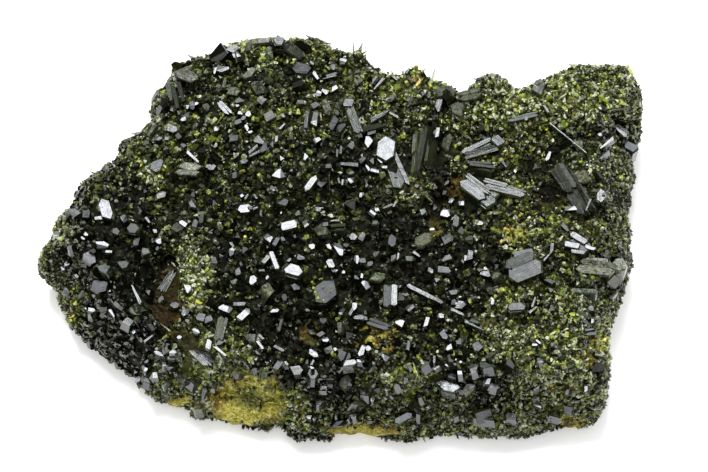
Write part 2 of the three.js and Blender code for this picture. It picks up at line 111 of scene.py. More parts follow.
def cells(p, size, seed=0):
    """Distance to the nearest of a set of scattered points, in units of size."""
    q = np.asarray(p, float) / size + 1000.0
    i = np.floor(q).astype(np.int64)
    best = np.full(len(q), 9.0)
    for dx in (-1, 0, 1):
        for dy in (-1, 0, 1):
            for dz in (-1, 0, 1):
                c = i + (dx, dy, dz)
                o = np.stack([lattice(c[:, 0], c[:, 1], c[:, 2], seed + s) * 0.5 + 0.5 for s in (1, 2, 3)], 1)
                best = np.minimum(best, ((c + o - q) ** 2).sum(1))
    return np.sqrt(best)


# ---------------------------------------------------------------- meshes
def arrays(ob):
    me = ob.data
    v = np.empty(len(me.vertices) * 3, np.float32)
    me.vertices.foreach_get("co", v)
    me.calc_loop_triangles()
    t = np.empty(len(me.loop_triangles) * 3, np.int32)
    me.loop_triangles.foreach_get("vertices", t)
    return v.reshape(-1, 3).astype(float) / MM, t.reshape(-1, 3)


def corners(v, t):
    """Area and unit normal of each triangle."""
    n = np.cross(v[t[:, 1]] - v[t[:, 0]], v[t[:, 2]] - v[t[:, 0]])
    a = np.linalg.norm(n, axis=1)
    return a / 2, n / np.maximum(a, 1e-12)[:, None]


def joined(names):
    vs, ts, n = [], [], 0
    for name in names:
        v, t = arrays(NODES[name])
        vs.append(v)
        ts.append(t + n)
        n += len(v)
    return np.concatenate(vs), np.concatenate(ts)


def make(name, v, faces, smooth=False):
    me = bpy.data.meshes.new(name)
    me.from_pydata((np.asarray(v) * MM).tolist(), [], [list(map(int, f)) for f in faces])
    me.update()
    if smooth:
        me.polygons.foreach_set("use_smooth", np.ones(len(me.polygons), bool))
    ob = bpy.data.objects.new(name, me)
    bpy.context.scene.collection.objects.link(ob)
    return ob


def ball(c, r, turn=0.0):
    """A closed lump: middle, three radii, turn about the upright in degrees."""
    rings, around = 10, 16
    v = [(0, 0, 1.0)]
    for i in range(1, rings):
        a = math.pi * i / rings
        v += [(math.sin(a) * math.cos(2 * math.pi * k / around), math.sin(a) * math.sin(2 * math.pi * k / around), math.cos(a)) for k in range(around)]
    v.append((0, 0, -1.0))
    f = [(0, 1 + k, 1 + (k + 1) % around) for k in range(around)]
    for i in range(rings - 2):
        for k in range(around):
            a, b = 1 + i * around + k, 1 + i * around + (k + 1) % around
            f += [(a, a + around, b), (b, a + around, b + around)]
    last = len(v) - 1
    f += [(last, last - around + (k + 1) % around, last - around + k) for k in range(around)]
    q = np.array(v) * r
    s, w = math.sin(math.radians(turn)), math.cos(math.radians(turn))
    return np.stack([q[:, 0] * w - q[:, 1] * s, q[:, 0] * s + q[:, 1] * w, q[:, 2]], 1) + c, np.array(f, np.int32)


def remeshed(name, node_names, voxel, smooth, lumps=()):
    """The named solids, and any lumps on them, melted into one even mesh."""
    v, t = joined(node_names)
    for w, f in lumps:
        t = np.concatenate([t, f + len(v)])
        v = np.concatenate([v, w])
    ob = make(name, v, t)
    m = ob.modifiers.new("vox", "REMESH")
    m.mode = "VOXEL"
    m.voxel_size = voxel * MM
    m = ob.modifiers.new("smooth", "SMOOTH")
    m.factor = 0.5
    m.iterations = smooth
    dg = bpy.context.evaluated_depsgraph_get()
    me = bpy.data.meshes.new_from_object(ob.evaluated_get(dg))
    me.name = name
    ob.modifiers.clear()
    ob.data = me
    me.polygons.foreach_set("use_smooth", np.ones(len(me.polygons), bool))
    return ob


def vertex_normals(v, t):
    n = np.cross(v[t[:, 1]] - v[t[:, 0]], v[t[:, 2]] - v[t[:, 0]])
    out = np.zeros_like(v)
    for k in range(3):
        np.add.at(out, t[:, k], n)
    return unit(out)


def set_points(ob, v):
    ob.data.vertices.foreach_set("co", (v * MM).astype(np.float32).ravel())
    ob.data.update()


def tree_of(v, t):
    return BVHTree.FromPolygons([Vector(p) for p in v], t.tolist())


# ---------------------------------------------------------------- closed crystals from cutting planes
def polyhedron(planes):
    """The closed convex solid inside all planes (normal, distance): vertices and faces."""
    n = unit(np.array([p[0] for p in planes]))
    d = np.array([p[1] for p in planes])
    k = len(d)
    pts = []
    for a in range(k):
        for b in range(a + 1, k):
            for c in range(b + 1, k):
                m = n[[a, b, c]]
                if abs(np.linalg.det(m)) < 1e-6:
                    continue
                x = np.linalg.solve(m, d[[a, b, c]])
                if (n @ x <= d + 1e-6).all():
                    pts.append(x)
    v = []
    for x in pts:
        if not any(np.abs(x - y).max() < 2e-4 for y in v):
            v.append(x)
    v = np.array(v)
    faces = []
    for a in range(k):
        on = np.where(np.abs(v @ n[a] - d[a]) < 4e-4)[0]
        if len(on) < 3:
            continue
        c = v[on].mean(0)
        e = unit(v[on[0]] - c)
        f = np.cross(n[a], e)
        w = np.arctan2((v[on] - c) @ f, (v[on] - c) @ e)
        faces.append([int(i) for i in on[np.argsort(w)]])
    used = sorted({i for f in faces for i in f})
    new = {o: i for i, o in enumerate(used)}
    return v[used], [[new[i] for i in f] for f in faces]


def closed(faces):
    e = {}
    for f in faces:
        for a, b in zip(f, f[1:] + f[:1]):
            e[(a, b)] = e.get((a, b), 0) + 1
    return all(c == 1 and e.get((b, a)) == 1 for (a, b), c in e.items())


class Shape:
    """One crystal form, with its tip near the origin and its root down at -z."""

    def __init__(self, v, faces, axis=(0, 0, 1)):
        self.v, self.faces = v, faces
        self.axis = unit(axis)
        self.n_loops = sum(len(f) for f in faces)
        self.sizes = np.array([len(f) for f in faces])
        self.loops = np.array([i for f in faces for i in f])
        self.n_tri = int((self.sizes - 2).sum())
        turned = np.array([np.cross(v[f[1]] - v[f[0]], v[f[2]] - v[f[0]]) for f in faces])
        area = np.linalg.norm(turned, axis=1)
        self.ends = unit(turned)[(turned[:, 2] > 0.15 * area) & (area > 0.1 * area.max())]
        # where each corner lies in the crystal's own cell of the baking map: the crystal is
        # unwrapped about its axis as a disc, with its hidden root in a corner
        low, high = v[:, 2].min(), v[:, 2].max()
        mid = np.array([*(v.min(0) + v.max(0))[:2] / 2, low + 0.45 * (high - low)])
        reach = np.array([(v[:, 0].max() - v[:, 0].min()) / 2, (v[:, 1].max() - v[:, 1].min()) / 2, (high - low) * 0.5])
        q = (v - mid) / reach
        away = np.arccos(np.clip(q[:, 2] / np.linalg.norm(q, axis=1), -1, 1)) / math.pi
        turn = np.arctan2(q[:, 1], q[:, 0])
        disc = np.stack([0.5 + 0.56 * away * np.cos(turn), 0.5 + 0.56 * away * np.sin(turn)], 1)
        # a root that ends in a point lies under the middle of each of its faces
        point = np.hypot(q[:, 0], q[:, 1]) < 0.01
        self.cell = np.zeros((self.n_loops, 2))
        self.grain = np.zeros((self.n_loops, 2))
        k = 0
        for f in faces:
            p = v[f]
            nf = unit(np.cross(p[1] - p[0], p[2] - p[0]))
            for i in f:
                if point[i] and v[i, 2] < low + 1e-3:
                    t = math.atan2(*(p.mean(0) - v[i])[1::-1])
                    self.cell[k] = (0.5 + 0.5 * math.cos(t), 0.5 + 0.5 * math.sin(t))
                elif nf[2] < -0.9 and p[:, 2].max() < low + 0.2 * (high - low):
                    t = turn[i]
                    self.cell[k] = (0.06 + 0.05 * math.cos(-t), 0.06 + 0.05 * math.sin(t))
                else:
                    self.cell[k] = disc[i]
                across = np.cross(self.axis, nf)
                if np.linalg.norm(across) < 0.05:
                    across = np.array([1.0, 0, 0])
                across = unit(across)
                along = np.cross(nf, across)
                slope = abs(float(nf @ self.axis))
                self.grain[k] = (v[i] @ across * (0.1 + 0.9 * (1 - slope) ** 2), v[i] @ along)
                k += 1
        self.cell = np.clip(self.cell, 0.01, 0.99)


def prism_shape(rng, flat=0.7, end="oblique", sides=6, deep=3.0, pointed=False):
    """A prism with a blunt, faceted end. flat is thickness over width. A pointed one narrows
    slowly to a point at its hidden root."""
    planes = []
    turn = rng.uniform(0, 0.5)
    for s in range(sides):
        w = 2 * math.pi * (s + rng.uniform(-0.16, 0.16)) / sides + turn
        n = np.array([math.cos(w), math.sin(w) / flat, -rng.uniform(-0.02, 0.05)])
        r = rng.uniform(0.82, 1.0)
        if pointed:
            n[2] = -r / deep
        planes.append((n, r / np.linalg.norm(n)))
    if end == "oblique":
        w = rng.uniform(0, 2 * math.pi)
        a = math.radians(rng.uniform(3, 24))
        top = np.array([math.sin(a) * math.cos(w), math.sin(a) * math.sin(w), math.cos(a)])
        planes.append((top, 0.0))
        for _ in range(rng.integers(2, 4)):
            w = rng.uniform(0, 2 * math.pi)
            a = math.radians(rng.uniform(38, 62))
            n = np.array([math.sin(a) * math.cos(w), math.sin(a) * math.sin(w), math.cos(a)])
            planes.append((n, rng.uniform(0.12, 0.45)))
    elif end == "roof":
        w = rng.uniform(0, math.pi)
        for sgn, a in ((0, rng.uniform(18, 42)), (math.pi, rng.uniform(24, 58))):
            a = math.radians(a)
            planes.append((np.array([math.sin(a) * math.cos(w + sgn), math.sin(a) * math.sin(w + sgn), math.cos(a)]), 0.0))
        for _ in range(rng.integers(1, 3)):
            w2 = w + math.pi / 2 * rng.choice([-1, 1]) + rng.uniform(-0.4, 0.4)
            a = math.radians(rng.uniform(45, 65))
            planes.append((np.array([math.sin(a) * math.cos(w2), math.sin(a) * math.sin(w2), math.cos(a)]), rng.uniform(0.1, 0.4)))
    elif end == "ridge":
        w = rng.uniform(0, math.pi)
        for sgn, a in ((0, rng.uniform(34, 52)), (math.pi, rng.uniform(38, 58))):
            a = math.radians(a)
            planes.append((np.array([math.sin(a) * math.cos(w + sgn), math.sin(a) * math.sin(w + sgn), math.cos(a)]), 0.0))
        for _ in range(2):
            w2 = w + math.pi / 2 * rng.choice([-1, 1]) + rng.uniform(-0.4, 0.4)
            a = math.radians(rng.uniform(42, 60))
            planes.append((np.array([math.sin(a) * math.cos(w2), math.sin(a) * math.sin(w2), math.cos(a)]), rng.uniform(0.05, 0.3)))
    elif end == "chip":
        w = rng.uniform(0, 2 * math.pi)
        a = math.radians(rng.uniform(8, 40))
        planes.append((np.array([math.sin(a) * math.cos(w), math.sin(a) * math.sin(w), math.cos(a)]), 0.0))
        w += rng.uniform(1.6, 4.6)
        a = math.radians(rng.uniform(40, 65))
        planes.append((np.array([math.sin(a) * math.cos(w), math.sin(a) * math.sin(w), math.cos(a)]), rng.uniform(0.05, 0.3)))
    else:  # a low pyramid
        k = int(rng.integers(3, 5))
        w = rng.uniform(0, 2 * math.pi)
        for s in range(k):
            a = math.radians(rng.uniform(32, 54))
            w2 = w + 2 * math.pi * s / k + rng.uniform(-0.3, 0.3)
            planes.append((np.array([math.sin(a) * math.cos(w2), math.sin(a) * math.sin(w2), math.cos(a)]), rng.uniform(0, 0.12)))
    if not pointed:
        planes.append((np.array([0, 0, -1.0]), deep))
    v, f = polyhedron(planes)
    v[:, 2] -= v[:, 2].max()
    return Shape(v, f)


def shape_set(rng, count, **kw):
    out = []
    while len(out) < count:
        ends = kw.get("ends", ("oblique", "oblique", "roof", "point"))
        s = prism_shape(rng, rng.uniform(*kw.get("flat", (0.5, 0.95))), ends[len(out) % len(ends)], int(rng.choice(kw.get("sides", (5, 6, 6)))), kw.get("deep", 3.0), "root" in kw)
        s.root = kw.get("root", 1.0)
        if closed(s.faces) and len(s.v) >= (6 if "root" in kw else 8):
            out.append(s)
    return out


def glare(shapes, which, place, axis, twist, size):
    """How squarely the end faces of each crystal throw the key light at the viewer, as a cosine."""
    h = unit(unit(EYE - place) + unit(AIM * (1, 1, 0) + KEY * 700 - place))
    z = unit(axis)
    ref = np.where(np.abs(z[:, 2:3]) < 0.9, np.array([[0, 0, 1.0]]), np.array([[1.0, 0, 0]]))
    x = unit(np.cross(ref, z))
    y = np.cross(z, x)
    c, s = np.cos(twist), np.sin(twist)
    hx, hy, hz = (x * h).sum(1), (y * h).sum(1), (z * h).sum(1)
    local = np.stack([hx * c + hy * s, hy * c - hx * s, hz], 1)
    out = np.full(len(which), -1.0)
    for k, sh in enumerate(shapes):
        idx = np.where(which == k)[0]
        if len(idx) and len(sh.ends):
            n = unit(sh.ends[None] / size[idx][:, None, :])
            out[idx] = (n * local[idx][:, None, :]).sum(2).max(1)
    return out


def grow(name, shapes, which, place, axis, twist, size, tint):
    """One mesh of closed crystals. place = tips, size = (wide, thick, tall) of each, tint = three numbers each."""
    n = len(which)
    side = int(math.ceil(math.sqrt(n)))
    z = unit(axis)
    ref = np.where(np.abs(z[:, 2:3]) < 0.9, np.array([[0, 0, 1.0]]), np.array([[1.0, 0, 0]]))
    x = unit(np.cross(ref, z))
    y = np.cross(z, x)
    c, s = np.cos(twist)[:, None], np.sin(twist)[:, None]
    x, y = x * c + y * s, y * c - x * s
    V, L, S, C, G, T = [], [], [], [], [], []
    base = 0
    for k, sh in enumerate(shapes):
        idx = np.where(which == k)[0]
        if not len(idx):
            continue
        m = len(idx)
        p = sh.v[None, :, :] * size[idx][:, None, :]
        w = p[..., 0:1] * x[idx][:, None] + p[..., 1:2] * y[idx][:, None] + p[..., 2:3] * z[idx][:, None] + place[idx][:, None]
        V.append(w.reshape(-1, 3))
        nv = len(sh.v)
        L.append((sh.loops[None] + base + nv * np.arange(m)[:, None]).ravel())
        S.append(np.tile(sh.sizes, m))
        cell = np.stack([idx % side, idx // side], 1)[:, None, :]
        C.append(((cell + sh.cell[None]) / side).reshape(-1, 2))
        g = sh.grain[None] * np.stack([size[idx, :2].mean(1), size[idx, 2]], 1)[:, None, :]
        G.append((g + np.stack([idx * 3.17, idx * 1.31], 1)[:, None, :] % 97).reshape(-1, 2))
        up = (sh.v[:, 2] / -sh.v[:, 2].min() + 1)[None, :, None] * np.ones((m, 1, 1))
        T.append(np.concatenate([np.repeat(tint[idx][:, None, :], nv, 1), up], 2).reshape(-1, 4))
        base += nv * m
    V, L, S, C, G, T = map(np.concatenate, (V, L, S, C, G, T))
    me = bpy.data.meshes.new(name)
    me.vertices.add(len(V))
    me.vertices.foreach_set("co", (V * MM).astype(np.float32).ravel())
    me.loops.add(len(L))
    me.loops.foreach_set("vertex_index", L.astype(np.int32))
    me.polygons.add(len(S))
    start = np.concatenate([[0], np.cumsum(S)[:-1]])
    me.polygons.foreach_set("loop_start", start.astype(np.int32))
    me.polygons.foreach_set("loop_total", S.astype(np.int32))
    me.update(calc_edges=True)
    for layer, data in (("OFBake", C), ("grain", G)):
        uv = me.uv_layers.new(name=layer)
        uv.data.foreach_set("uv", data.astype(np.float32).ravel())
    a = me.attributes.new("tint", "FLOAT_COLOR", "POINT")
    a.data.foreach_set("color", T.astype(np.float32).ravel())
    me.shade_flat()
    me.validate()
    ob = bpy.data.objects.new(name, me)
    bpy.context.scene.collection.objects.link(ob)
    return ob, int((S - 2).sum())


# ---------------------------------------------------------------- where things are, in the picture's pixels
# u, v, half width, half height, turn, then the share of each habit there:
# dark prisms, green crystals, fine yellow-green grains, frosted grains; then a lightness shift of the
# crystals' colour, partly their own tone and partly painted light: painted highlight on slopes that the
# lamps leave dull, painted shade in the deep pits, the groove and the dark gaps; then a size factor
ZONES = [
    (108, 258, 46, 52, 0, (1.9, 0.14, 0.04, 0.0, -0.22, 1.1)),
    (58, 262, 20, 40, 25, (0.3, 0.5, 1.1, 0.5, 0.10, 0.8)),
    (66, 310, 14, 30, -30, (0.1, 0.4, 1.3, 0.3, 0.25, 0.8)),
    (92, 178, 22, 34, 40, (0.9, 0.9, 0.3, 0.1, 0.0, 0.9)),
    (122, 344, 34, 26, 35, (1.8, 0.2, 0.08, 0.05, -0.2, 1.0)),
    (192, 350, 38, 36, 0, (0.6, 1.0, 0.5, 0.5, 0.10, 0.9)),
    (150, 150, 36, 38, 0, (0.8, 0.8, 0.4, 0.5, 0.06, 0.95)),
    (205, 100, 46, 42, 0, (0.8, 1.0, 0.4, 0.2, 0.03, 0.95)),
    (280, 50, 100, 16, 4, (0.3, 0.9, 0.5, 0.8, 0.10, 0.85)),
    (320, 100, 80, 34, 0, (0.5, 1.2, 0.4, 0.3, 0.08, 0.9)),
    (225, 190, 50, 40, 0, (0.9, 0.9, 0.4, 0.15, 0.0, 0.95)),
    (183, 262, 22, 26, 20, (0.2, 0.5, 0.9, 2.2, 0.24, 0.66)),
    (153, 177, 14, 14, 0, (0.3, 0.5, 0.7, 1.4, 0.15, 0.7)),
    (320, 190, 56, 40, 0, (1.2, 0.7, 0.25, 0.05, -0.03, 1.0)),
    (330, 270, 100, 48, 0, (1.7, 0.4, 0.12, 0.0, -0.15, 1.05)),
    (245, 260, 30, 40, 0, (1.3, 0.7, 0.2, 0.05, -0.05, 1.0)),
    (410, 190, 26, 20, 0, (0.3, 0.5, 0.5, 1.6, 0.15, 0.7)),
    (400, 130, 26, 30, 0, (0.6, 1.0, 0.5, 0.3, 0.05, 0.9)),
    (437, 172, 10, 54, 0, (0.9, 0.15, 0.02, 0.0, -0.5, 0.8)),
    (548, 192, 14, 14, 0, (0.5, 0.2, 0.05, 0.0, -0.5, 0.8)),
    (532, 164, 8, 12, 0, (0.5, 0.2, 0.05, 0.0, -0.5, 0.7)),
    (560, 146, 14, 8, 30, (1.0, 0.3, 0.1, 0.0, -0.3, 0.8)),
    (488, 150, 14, 5, 10, (1.0, 0.3, 0.1, 0.0, -0.3, 0.8)),
    (470, 82, 30, 14, 0, (0.1, 0.4, 0.9, 1.8, 0.2, 0.7)),
    (492, 84, 16, 11, 0, (0.0, 0.05, 0.6, 5.0, 0.2, 0.55)),
    (500, 120, 50, 34, 0, (0.3, 0.5, 1.3, 0.9, 0.16, 0.72)),
    (586, 94, 52, 36, 0, (0.2, 0.35, 1.2, 1.7, 0.3, 0.66)),
    (600, 150, 40, 24, 0, (0.6, 0.6, 1.0, 0.8, 0.1, 0.8)),
    (600, 205, 36, 40, 0, (0.5, 0.6, 1.1, 0.9, 0.1, 0.8)),
    (545, 190, 22, 26, 0, (0.6, 0.6, 0.9, 0.1, -0.08, 0.8)),
    (530, 235, 46, 22, 0, (0.4, 0.7, 1.2, 0.6, 0.12, 0.8)),
    (470, 240, 34, 40, 0, (1.6, 0.5, 0.15, 0.05, -0.12, 0.95)),
    (585, 265, 46, 30, 0, (0.7, 0.8, 0.8, 0.2, 0.0, 0.9)),
    (498, 338, 24, 28, 0, (0.2, 0.5, 1.0, 2.0, 0.26, 0.62)),
    (560, 340, 60, 54, 0, (0.4, 0.7, 1.1, 1.5, 0.19, 0.7)),
    (540, 405, 90, 30, 0, (0.3, 0.6, 1.1, 1.8, 0.24, 0.74)),
    (450, 330, 34, 34, 0, (1.3, 0.7, 0.3, 0.1, -0.05, 0.95)),
    (315, 362, 44, 34, 0, (1.8, 0.35, 0.15, 0.05, -0.15, 1.0)),
    (275, 74, 40, 15, 5, (1.5, 0.6, 0.25, 0.2, -0.15, 1.0)),
    (205, 84, 30, 22, 0, (1.3, 0.7, 0.25, 0.15, -0.08, 1.0)),
    (164, 294, 14, 40, -6, (1.0, 0.25, 0.03, 0.02, -0.5, 0.8)),
    (262, 48, 34, 12, 0, (0.1, 0.6, 0.8, 2.0, 1.1, 0.75)),
    (396, 80, 26, 14, 20, (0.2, 0.8, 0.8, 1.4, 0.3, 0.8)),
    (504, 106, 28, 12, 0, (0.1, 0.3, 1.2, 1.8, 0.75, 0.65)),
    (151, 165, 15, 12, 0, (0.4, 0.6, 0.8, 1.4, 0.3, 0.8)),
    (522, 188, 14, 12, 0, (0.3, 0.6, 1.2, 1.0, 0.25, 0.75)),
    (190, 270, 16, 22, 15, (0.1, 0.3, 1.2, 2.6, 1.1, 0.65)),
    (44, 268, 10, 20, 20, (0.2, 0.4, 1.3, 0.8, 0.3, 0.75)),
    (200, 376, 30, 24, 0, (0.1, 0.4, 1.3, 2.2, 1.7, 0.7)),
    (402, 388, 28, 16, 0, (0.15, 0.6, 1.2, 1.6, 1.7, 0.75)),
    (536, 102, 48, 13, 0, (0.15, 0.35, 1.2, 1.7, 0.6, 0.66)),
    (548, 215, 15, 10, 0, (0.3, 0.7, 1.2, 0.8, 0.6, 0.75)),
    (562, 386, 32, 16, 0, (0.1, 0.5, 1.1, 2.4, 1.6, 0.72)),
    (598, 344, 20, 22, 0, (0.2, 0.5, 1.2, 1.5, 0.5, 0.72)),
    (290, 408, 20, 13, 0, (0.2, 0.6, 1.1, 1.4, 1.2, 0.75)),
    (592, 132, 30, 12, 8, (1.5, 0.6, 0.3, 0.1, -0.5, 0.85)),
    (486, 133, 20, 10, 0, (1.4, 0.6, 0.3, 0.1, -0.4, 0.85)),
    (408, 134, 16, 12, 0, (1.4, 0.6, 0.2, 0.1, -0.2, 0.95)),
    (348, 168, 28, 26, 0, (1.7, 0.35, 0.1, 0.0, -0.35, 1.0)),
    (394, 228, 28, 28, 0, (1.7, 0.35, 0.1, 0.0, -0.32, 1.0)),
    (232, 244, 24, 14, 0, (1.6, 0.5, 0.15, 0.0, -0.2, 1.0)),
    (106, 300, 22, 16, 0, (1.8, 0.15, 0.03, 0.0, -0.5, 1.0)),
    (140, 328, 24, 14, 20, (1.8, 0.15, 0.03, 0.0, -0.5, 1.0)),
    (326, 386, 20, 16, 0, (1.8, 0.2, 0.05, 0.0, -0.5, 1.0)),
    (606, 202, 18, 20, 0, (1.3, 0.6, 0.4, 0.2, -0.35, 0.85)),
    (128, 268, 14, 16, 0, (1.8, 0.15, 0.03, 0.0, -0.4, 1.0)),
    (132, 190, 16, 14, 0, (1.7, 0.3, 0.05, 0.0, -0.35, 1.0)),
    (384, 272, 40, 14, 0, (1.7, 0.3, 0.08, 0.0, -0.35, 1.0)),
    (492, 272, 16, 14, 0, (1.5, 0.5, 0.2, 0.05, -0.2, 0.95)),
    (360, 350, 54, 14, 0, (1.7, 0.4, 0.15, 0.05, -0.35, 1.0)),
    (464, 300, 18, 14, 0, (1.7, 0.4, 0.1, 0.0, -0.35, 1.0)),
    (410, 158, 16, 12, 0, (1.4, 0.6, 0.2, 0.1, -0.3, 0.95)),
    (296, 342, 16, 22, 0, (1.8, 0.3, 0.1, 0.0, -0.25, 1.0)),
    (488, 376, 26, 20, 0, (1.6, 0.25, 0.08, 0.1, -0.2, 0.95)),
    (492, 404, 30, 14, 0, (1.1, 0.4, 0.2, 0.3, -0.1, 0.85)),
    (604, 378, 12, 16, 0, (1.2, 0.4, 0.3, 0.3, -0.1, 0.85)),
    (196, 392, 30, 24, 0, (0.3, 0.7, 1.1, 1.5, 0.2, 0.72)),
    (66, 232, 14, 24, 25, (0.5, 0.6, 0.9, 0.8, 0.1, 0.75)),
    (400, 385, 46, 34, 0, (0.5, 0.8, 0.9, 0.8, 0.10, 0.8)),
    (310, 412, 40, 18, 0, (0.5, 0.6, 0.8, 1.0, 0.05, 0.8)),
]
# u, v, half width, half height, turn, how much is bare
BARE = [
    (248, 402, 40, 27, 0, 1.0),
    (208, 402, 14, 10, 10, 0.8),
    (177, 404, 13, 6, 22, 0.85),
    (292, 412, 16, 8, 0, 0.55),
    (360, 431, 38, 9, 0, 0.95),
    (167, 300, 13, 38, -6, 0.9),
    (514, 231, 16, 9, 0, 0.9),
    (376, 338, 20, 12, 0, 0.6),
    (310, 333, 12, 7, 0, 0.6),
    (419, 74, 9, 9, 0, 0.95),
    (454, 186, 14, 10, 0, 0.8),
    (437, 180, 8, 48, 0, 0.55),
    (550, 193, 12, 12, 0, 0.85),
    (532, 164, 5, 9, 0, 0.85),
    (588, 360, 13, 8, 0, 0.9),
    (605, 346, 14, 11, -20, 0.8),
    (616, 334, 5, 11, 0, 0.8),
    (574, 423, 12, 8, -10, 0.95),
    (553, 390, 3.5, 5, 0, 0.9),
    (574, 390, 3.5, 5, 0, 0.9),
    (522, 367, 5, 4, 0, 0.85),
    (629, 226, 5, 8, 0, 0.8),
    (65, 308, 8, 18, 0, 0.5),
]


def lobe(u, v, row):
    c, s = math.cos(math.radians(row[4])), math.sin(math.radians(row[4]))
    a, b = (u - row[0]) * c - (v - row[1]) * s, (u - row[0]) * s + (v - row[1]) * c
    return (a / row[2]) ** 2 + (b / row[3]) ** 2


def habits(p):
    u, v = to_picture(p)
    out = np.full((len(p), 6), 0.01) * (0.6, 0.8, 0.8, 0.3, 0.05, 0.85)
    total = np.full(len(p), 0.01)
    for row in ZONES:
        w = np.exp(-lobe(u, v, row) * 1.8)
        out += w[:, None] * np.array(row[5])
        total += w
    return out / total[:, None]


def bareness(p):
    u, v = to_picture(p)
    out = np.zeros(len(p))
    for row in BARE:
        d = np.sqrt(lobe(u, v, row)) + 0.2 * noise(p, 1.3, 61) + 0.14 * noise(p, 3.6, 63)
        out = np.maximum(out, row[5] * np.clip((1.25 - d) / 0.4, 0, 1))
    return out


# u, v, half width, half height, turn, how bright the ground is left there: painted shade that darkens the ground in the
# deep hollows, pits and groove
PAINTED_SHADE_SPOTS = [
    (164, 298, 18, 46, -6, 0.09), (437, 172, 12, 58, 0, 0.02), (454, 186, 15, 11, 0, 0.3), (550, 193, 15, 15, 0, 0.01),
    (532, 164, 8, 13, 0, 0.01), (310, 333, 14, 9, 0, 0.3), (570, 205, 9, 8, 0, 0.1), (236, 347, 6, 8, 0, 0.35),
    (265, 429, 14, 6, 0, 0.25), (300, 440, 14, 5, 0, 0.3), (246, 352, 8, 14, 0, 0.3),
]


# painted shade: 1 where the ground keeps its colour, down to each row's number in the shaded hollows
def painted_shade_at(p):
    u, v = to_picture(p)
    out = np.ones(len(p))
    for row in PAINTED_SHADE_SPOTS:
        out = np.minimum(out, 1 - (1 - row[5]) * np.clip((1.35 - np.sqrt(lobe(u, v, row))) / 0.5, 0, 1))
    return out


def exposed(p, n):
    """How much rock shows: in its patches, and low on the walls that face away from the viewer."""
    low = np.clip((3.2 + 3.2 * noise(p, 8.0, 41) + 1.6 * noise(p, 2.6, 43) - p[:, 2]) / 1.6, 0, 1)
    up = np.where((np.abs(n[:, 2:]) < 0.97) & (n[:, 2:] < 0.12), [[1, 1, 0]], [[1, 1, 1]]) * n + np.where((np.abs(n[:, 2:]) < 0.97) & (n[:, 2:] < 0.12), [[0, 0, 0.12]], [[0, 0, 0]])
    front = np.clip((unit(up) @ BACK + 0.05) / 0.25, 0, 1)
    return np.maximum(bareness(p), 0.72 * low * (1 - 0.9 * front))


# ---------------------------------------------------------------- rock and ground
everything_v, everything_t = joined(sorted(NODES))
whole = tree_of(everything_v, everything_t)
crystal_names = [n for n in sorted(NODES) if n not in ("host_rock", "crystal_crust")]
rock_tree = tree_of(*arrays(NODES["host_rock"]))

def on_surface(u, v, rise=0.0):
    """Where the ray through a pixel meets the solid, and the way out there."""
    d = unit(RIGHT * ((u - WIDE / 2) / PIXELS) + UP * ((HIGH / 2 - v) / PIXELS) - BACK)
    hit, normal, _, _ = whole.ray_cast(Vector(EYE), Vector(d))
    if hit is None:
        return None
    return np.array(hit) + np.array(BACK) * rise


# rounded heads of the crust: u, v in the picture, radii, how deep the middle lies, turn
LUMPS = [
    (492, 89, (3.6, 3.0, 3.0), 1.5, 0), (419, 79, (1.5, 1.6, 1.8), 1.0, 0), (219, 58, (1.9, 1.6, 2.2), 1.2, 30),
    (271, 47, (2.2, 1.4, 1.5), 1.2, 0), (307, 49, (2.2, 1.5, 1.6), 1.2, -20), (590, 76, (3.0, 2.0, 1.8), 1.4, 0),
    (625, 78, (2.2, 1.8, 1.6), 1.3, 0), (372, 76, (2.0, 1.5, 1.6), 1.2, 0), (630, 181, (1.2, 1.2, 1.3), 0.9, 0),
    (163, 92, (1.2, 1.3, 1.5), 0.9, 0), (186, 74, (1.8, 1.4, 1.6), 1.1, -30), (62, 232, (1.8, 1.5, 1.6), 1.2, 40),
    (44, 268, (1.3, 1.5, 1.6), 1.1, 0), (73, 320, (1.6, 1.6, 1.8), 1.3, 0), (320, 372, (2.6, 1.8, 1.6), 1.4, 0),
    (265, 428, (1.9, 1.3, 1.6), 1.1, 0), (300, 437, (1.6, 1.2, 1.4), 1.0, 0), (505, 425, (3.2, 1.6, 2.0), 1.5, 0),
    (200, 340, (2.4, 2.0, 1.8), 1.4, 0), (403, 372, (3.4, 2.2, 1.8), 1.6, 20), (497, 338, (3.2, 2.6, 1.8), 1.6, 0),
    (560, 300, (2.6, 2.0, 1.6), 1.4, 0), (596, 190, (2.6, 2.4, 1.8), 1.4, 0), (150, 178, (2.0, 1.8, 1.6), 1.3, 0),
]
lumps = []
for u, v, r, deep, turn in LUMPS:
    c = on_surface(u, v)
    if c is not None:
        lumps.append(ball(c - BACK * deep, r, turn))

# the outside of everything, without the clearances between the pieces
shell = remeshed("shell", sorted(NODES), 0.6, 1, lumps)
shell_v, shell_t = arrays(shell)
skin = tree_of(shell_v, shell_t)
bpy.data.objects.remove(shell)


def outside(v, reach):
    """True for points that lie within reach of the outside, underside left out."""
    out = np.zeros(len(v), bool)
    for i in range(len(v)):
        hit = skin.find_nearest(Vector(v[i]), 3.0)
        out[i] = hit[0] is not None and hit[3] < reach
    return out & (v[:, 2] > 0.35)


def skin_gap(v):
    return np.array([skin.find_nearest(Vector(q))[3] for q in v])


rock = remeshed("rock", ["host_rock"], 0.74, 3)
v, t = arrays(rock)
n = vertex_normals(v, t)
free = outside(v, 0.55)
bare = exposed(v, n)
rock_bare = bare
lift = -1.05 + 0.65 * bare + 0.34 * fractal(v, 3.2, 3, 5) + 0.36 * (0.62 - cells(v, 1.5, 9))
lift += bare * (0.22 * (0.55 - cells(v, 0.8, 29)) + 0.2 * fractal(v, 1.2, 2, 33))
v = v + n * (lift * free)[:, None]
moved = np.zeros_like(v)
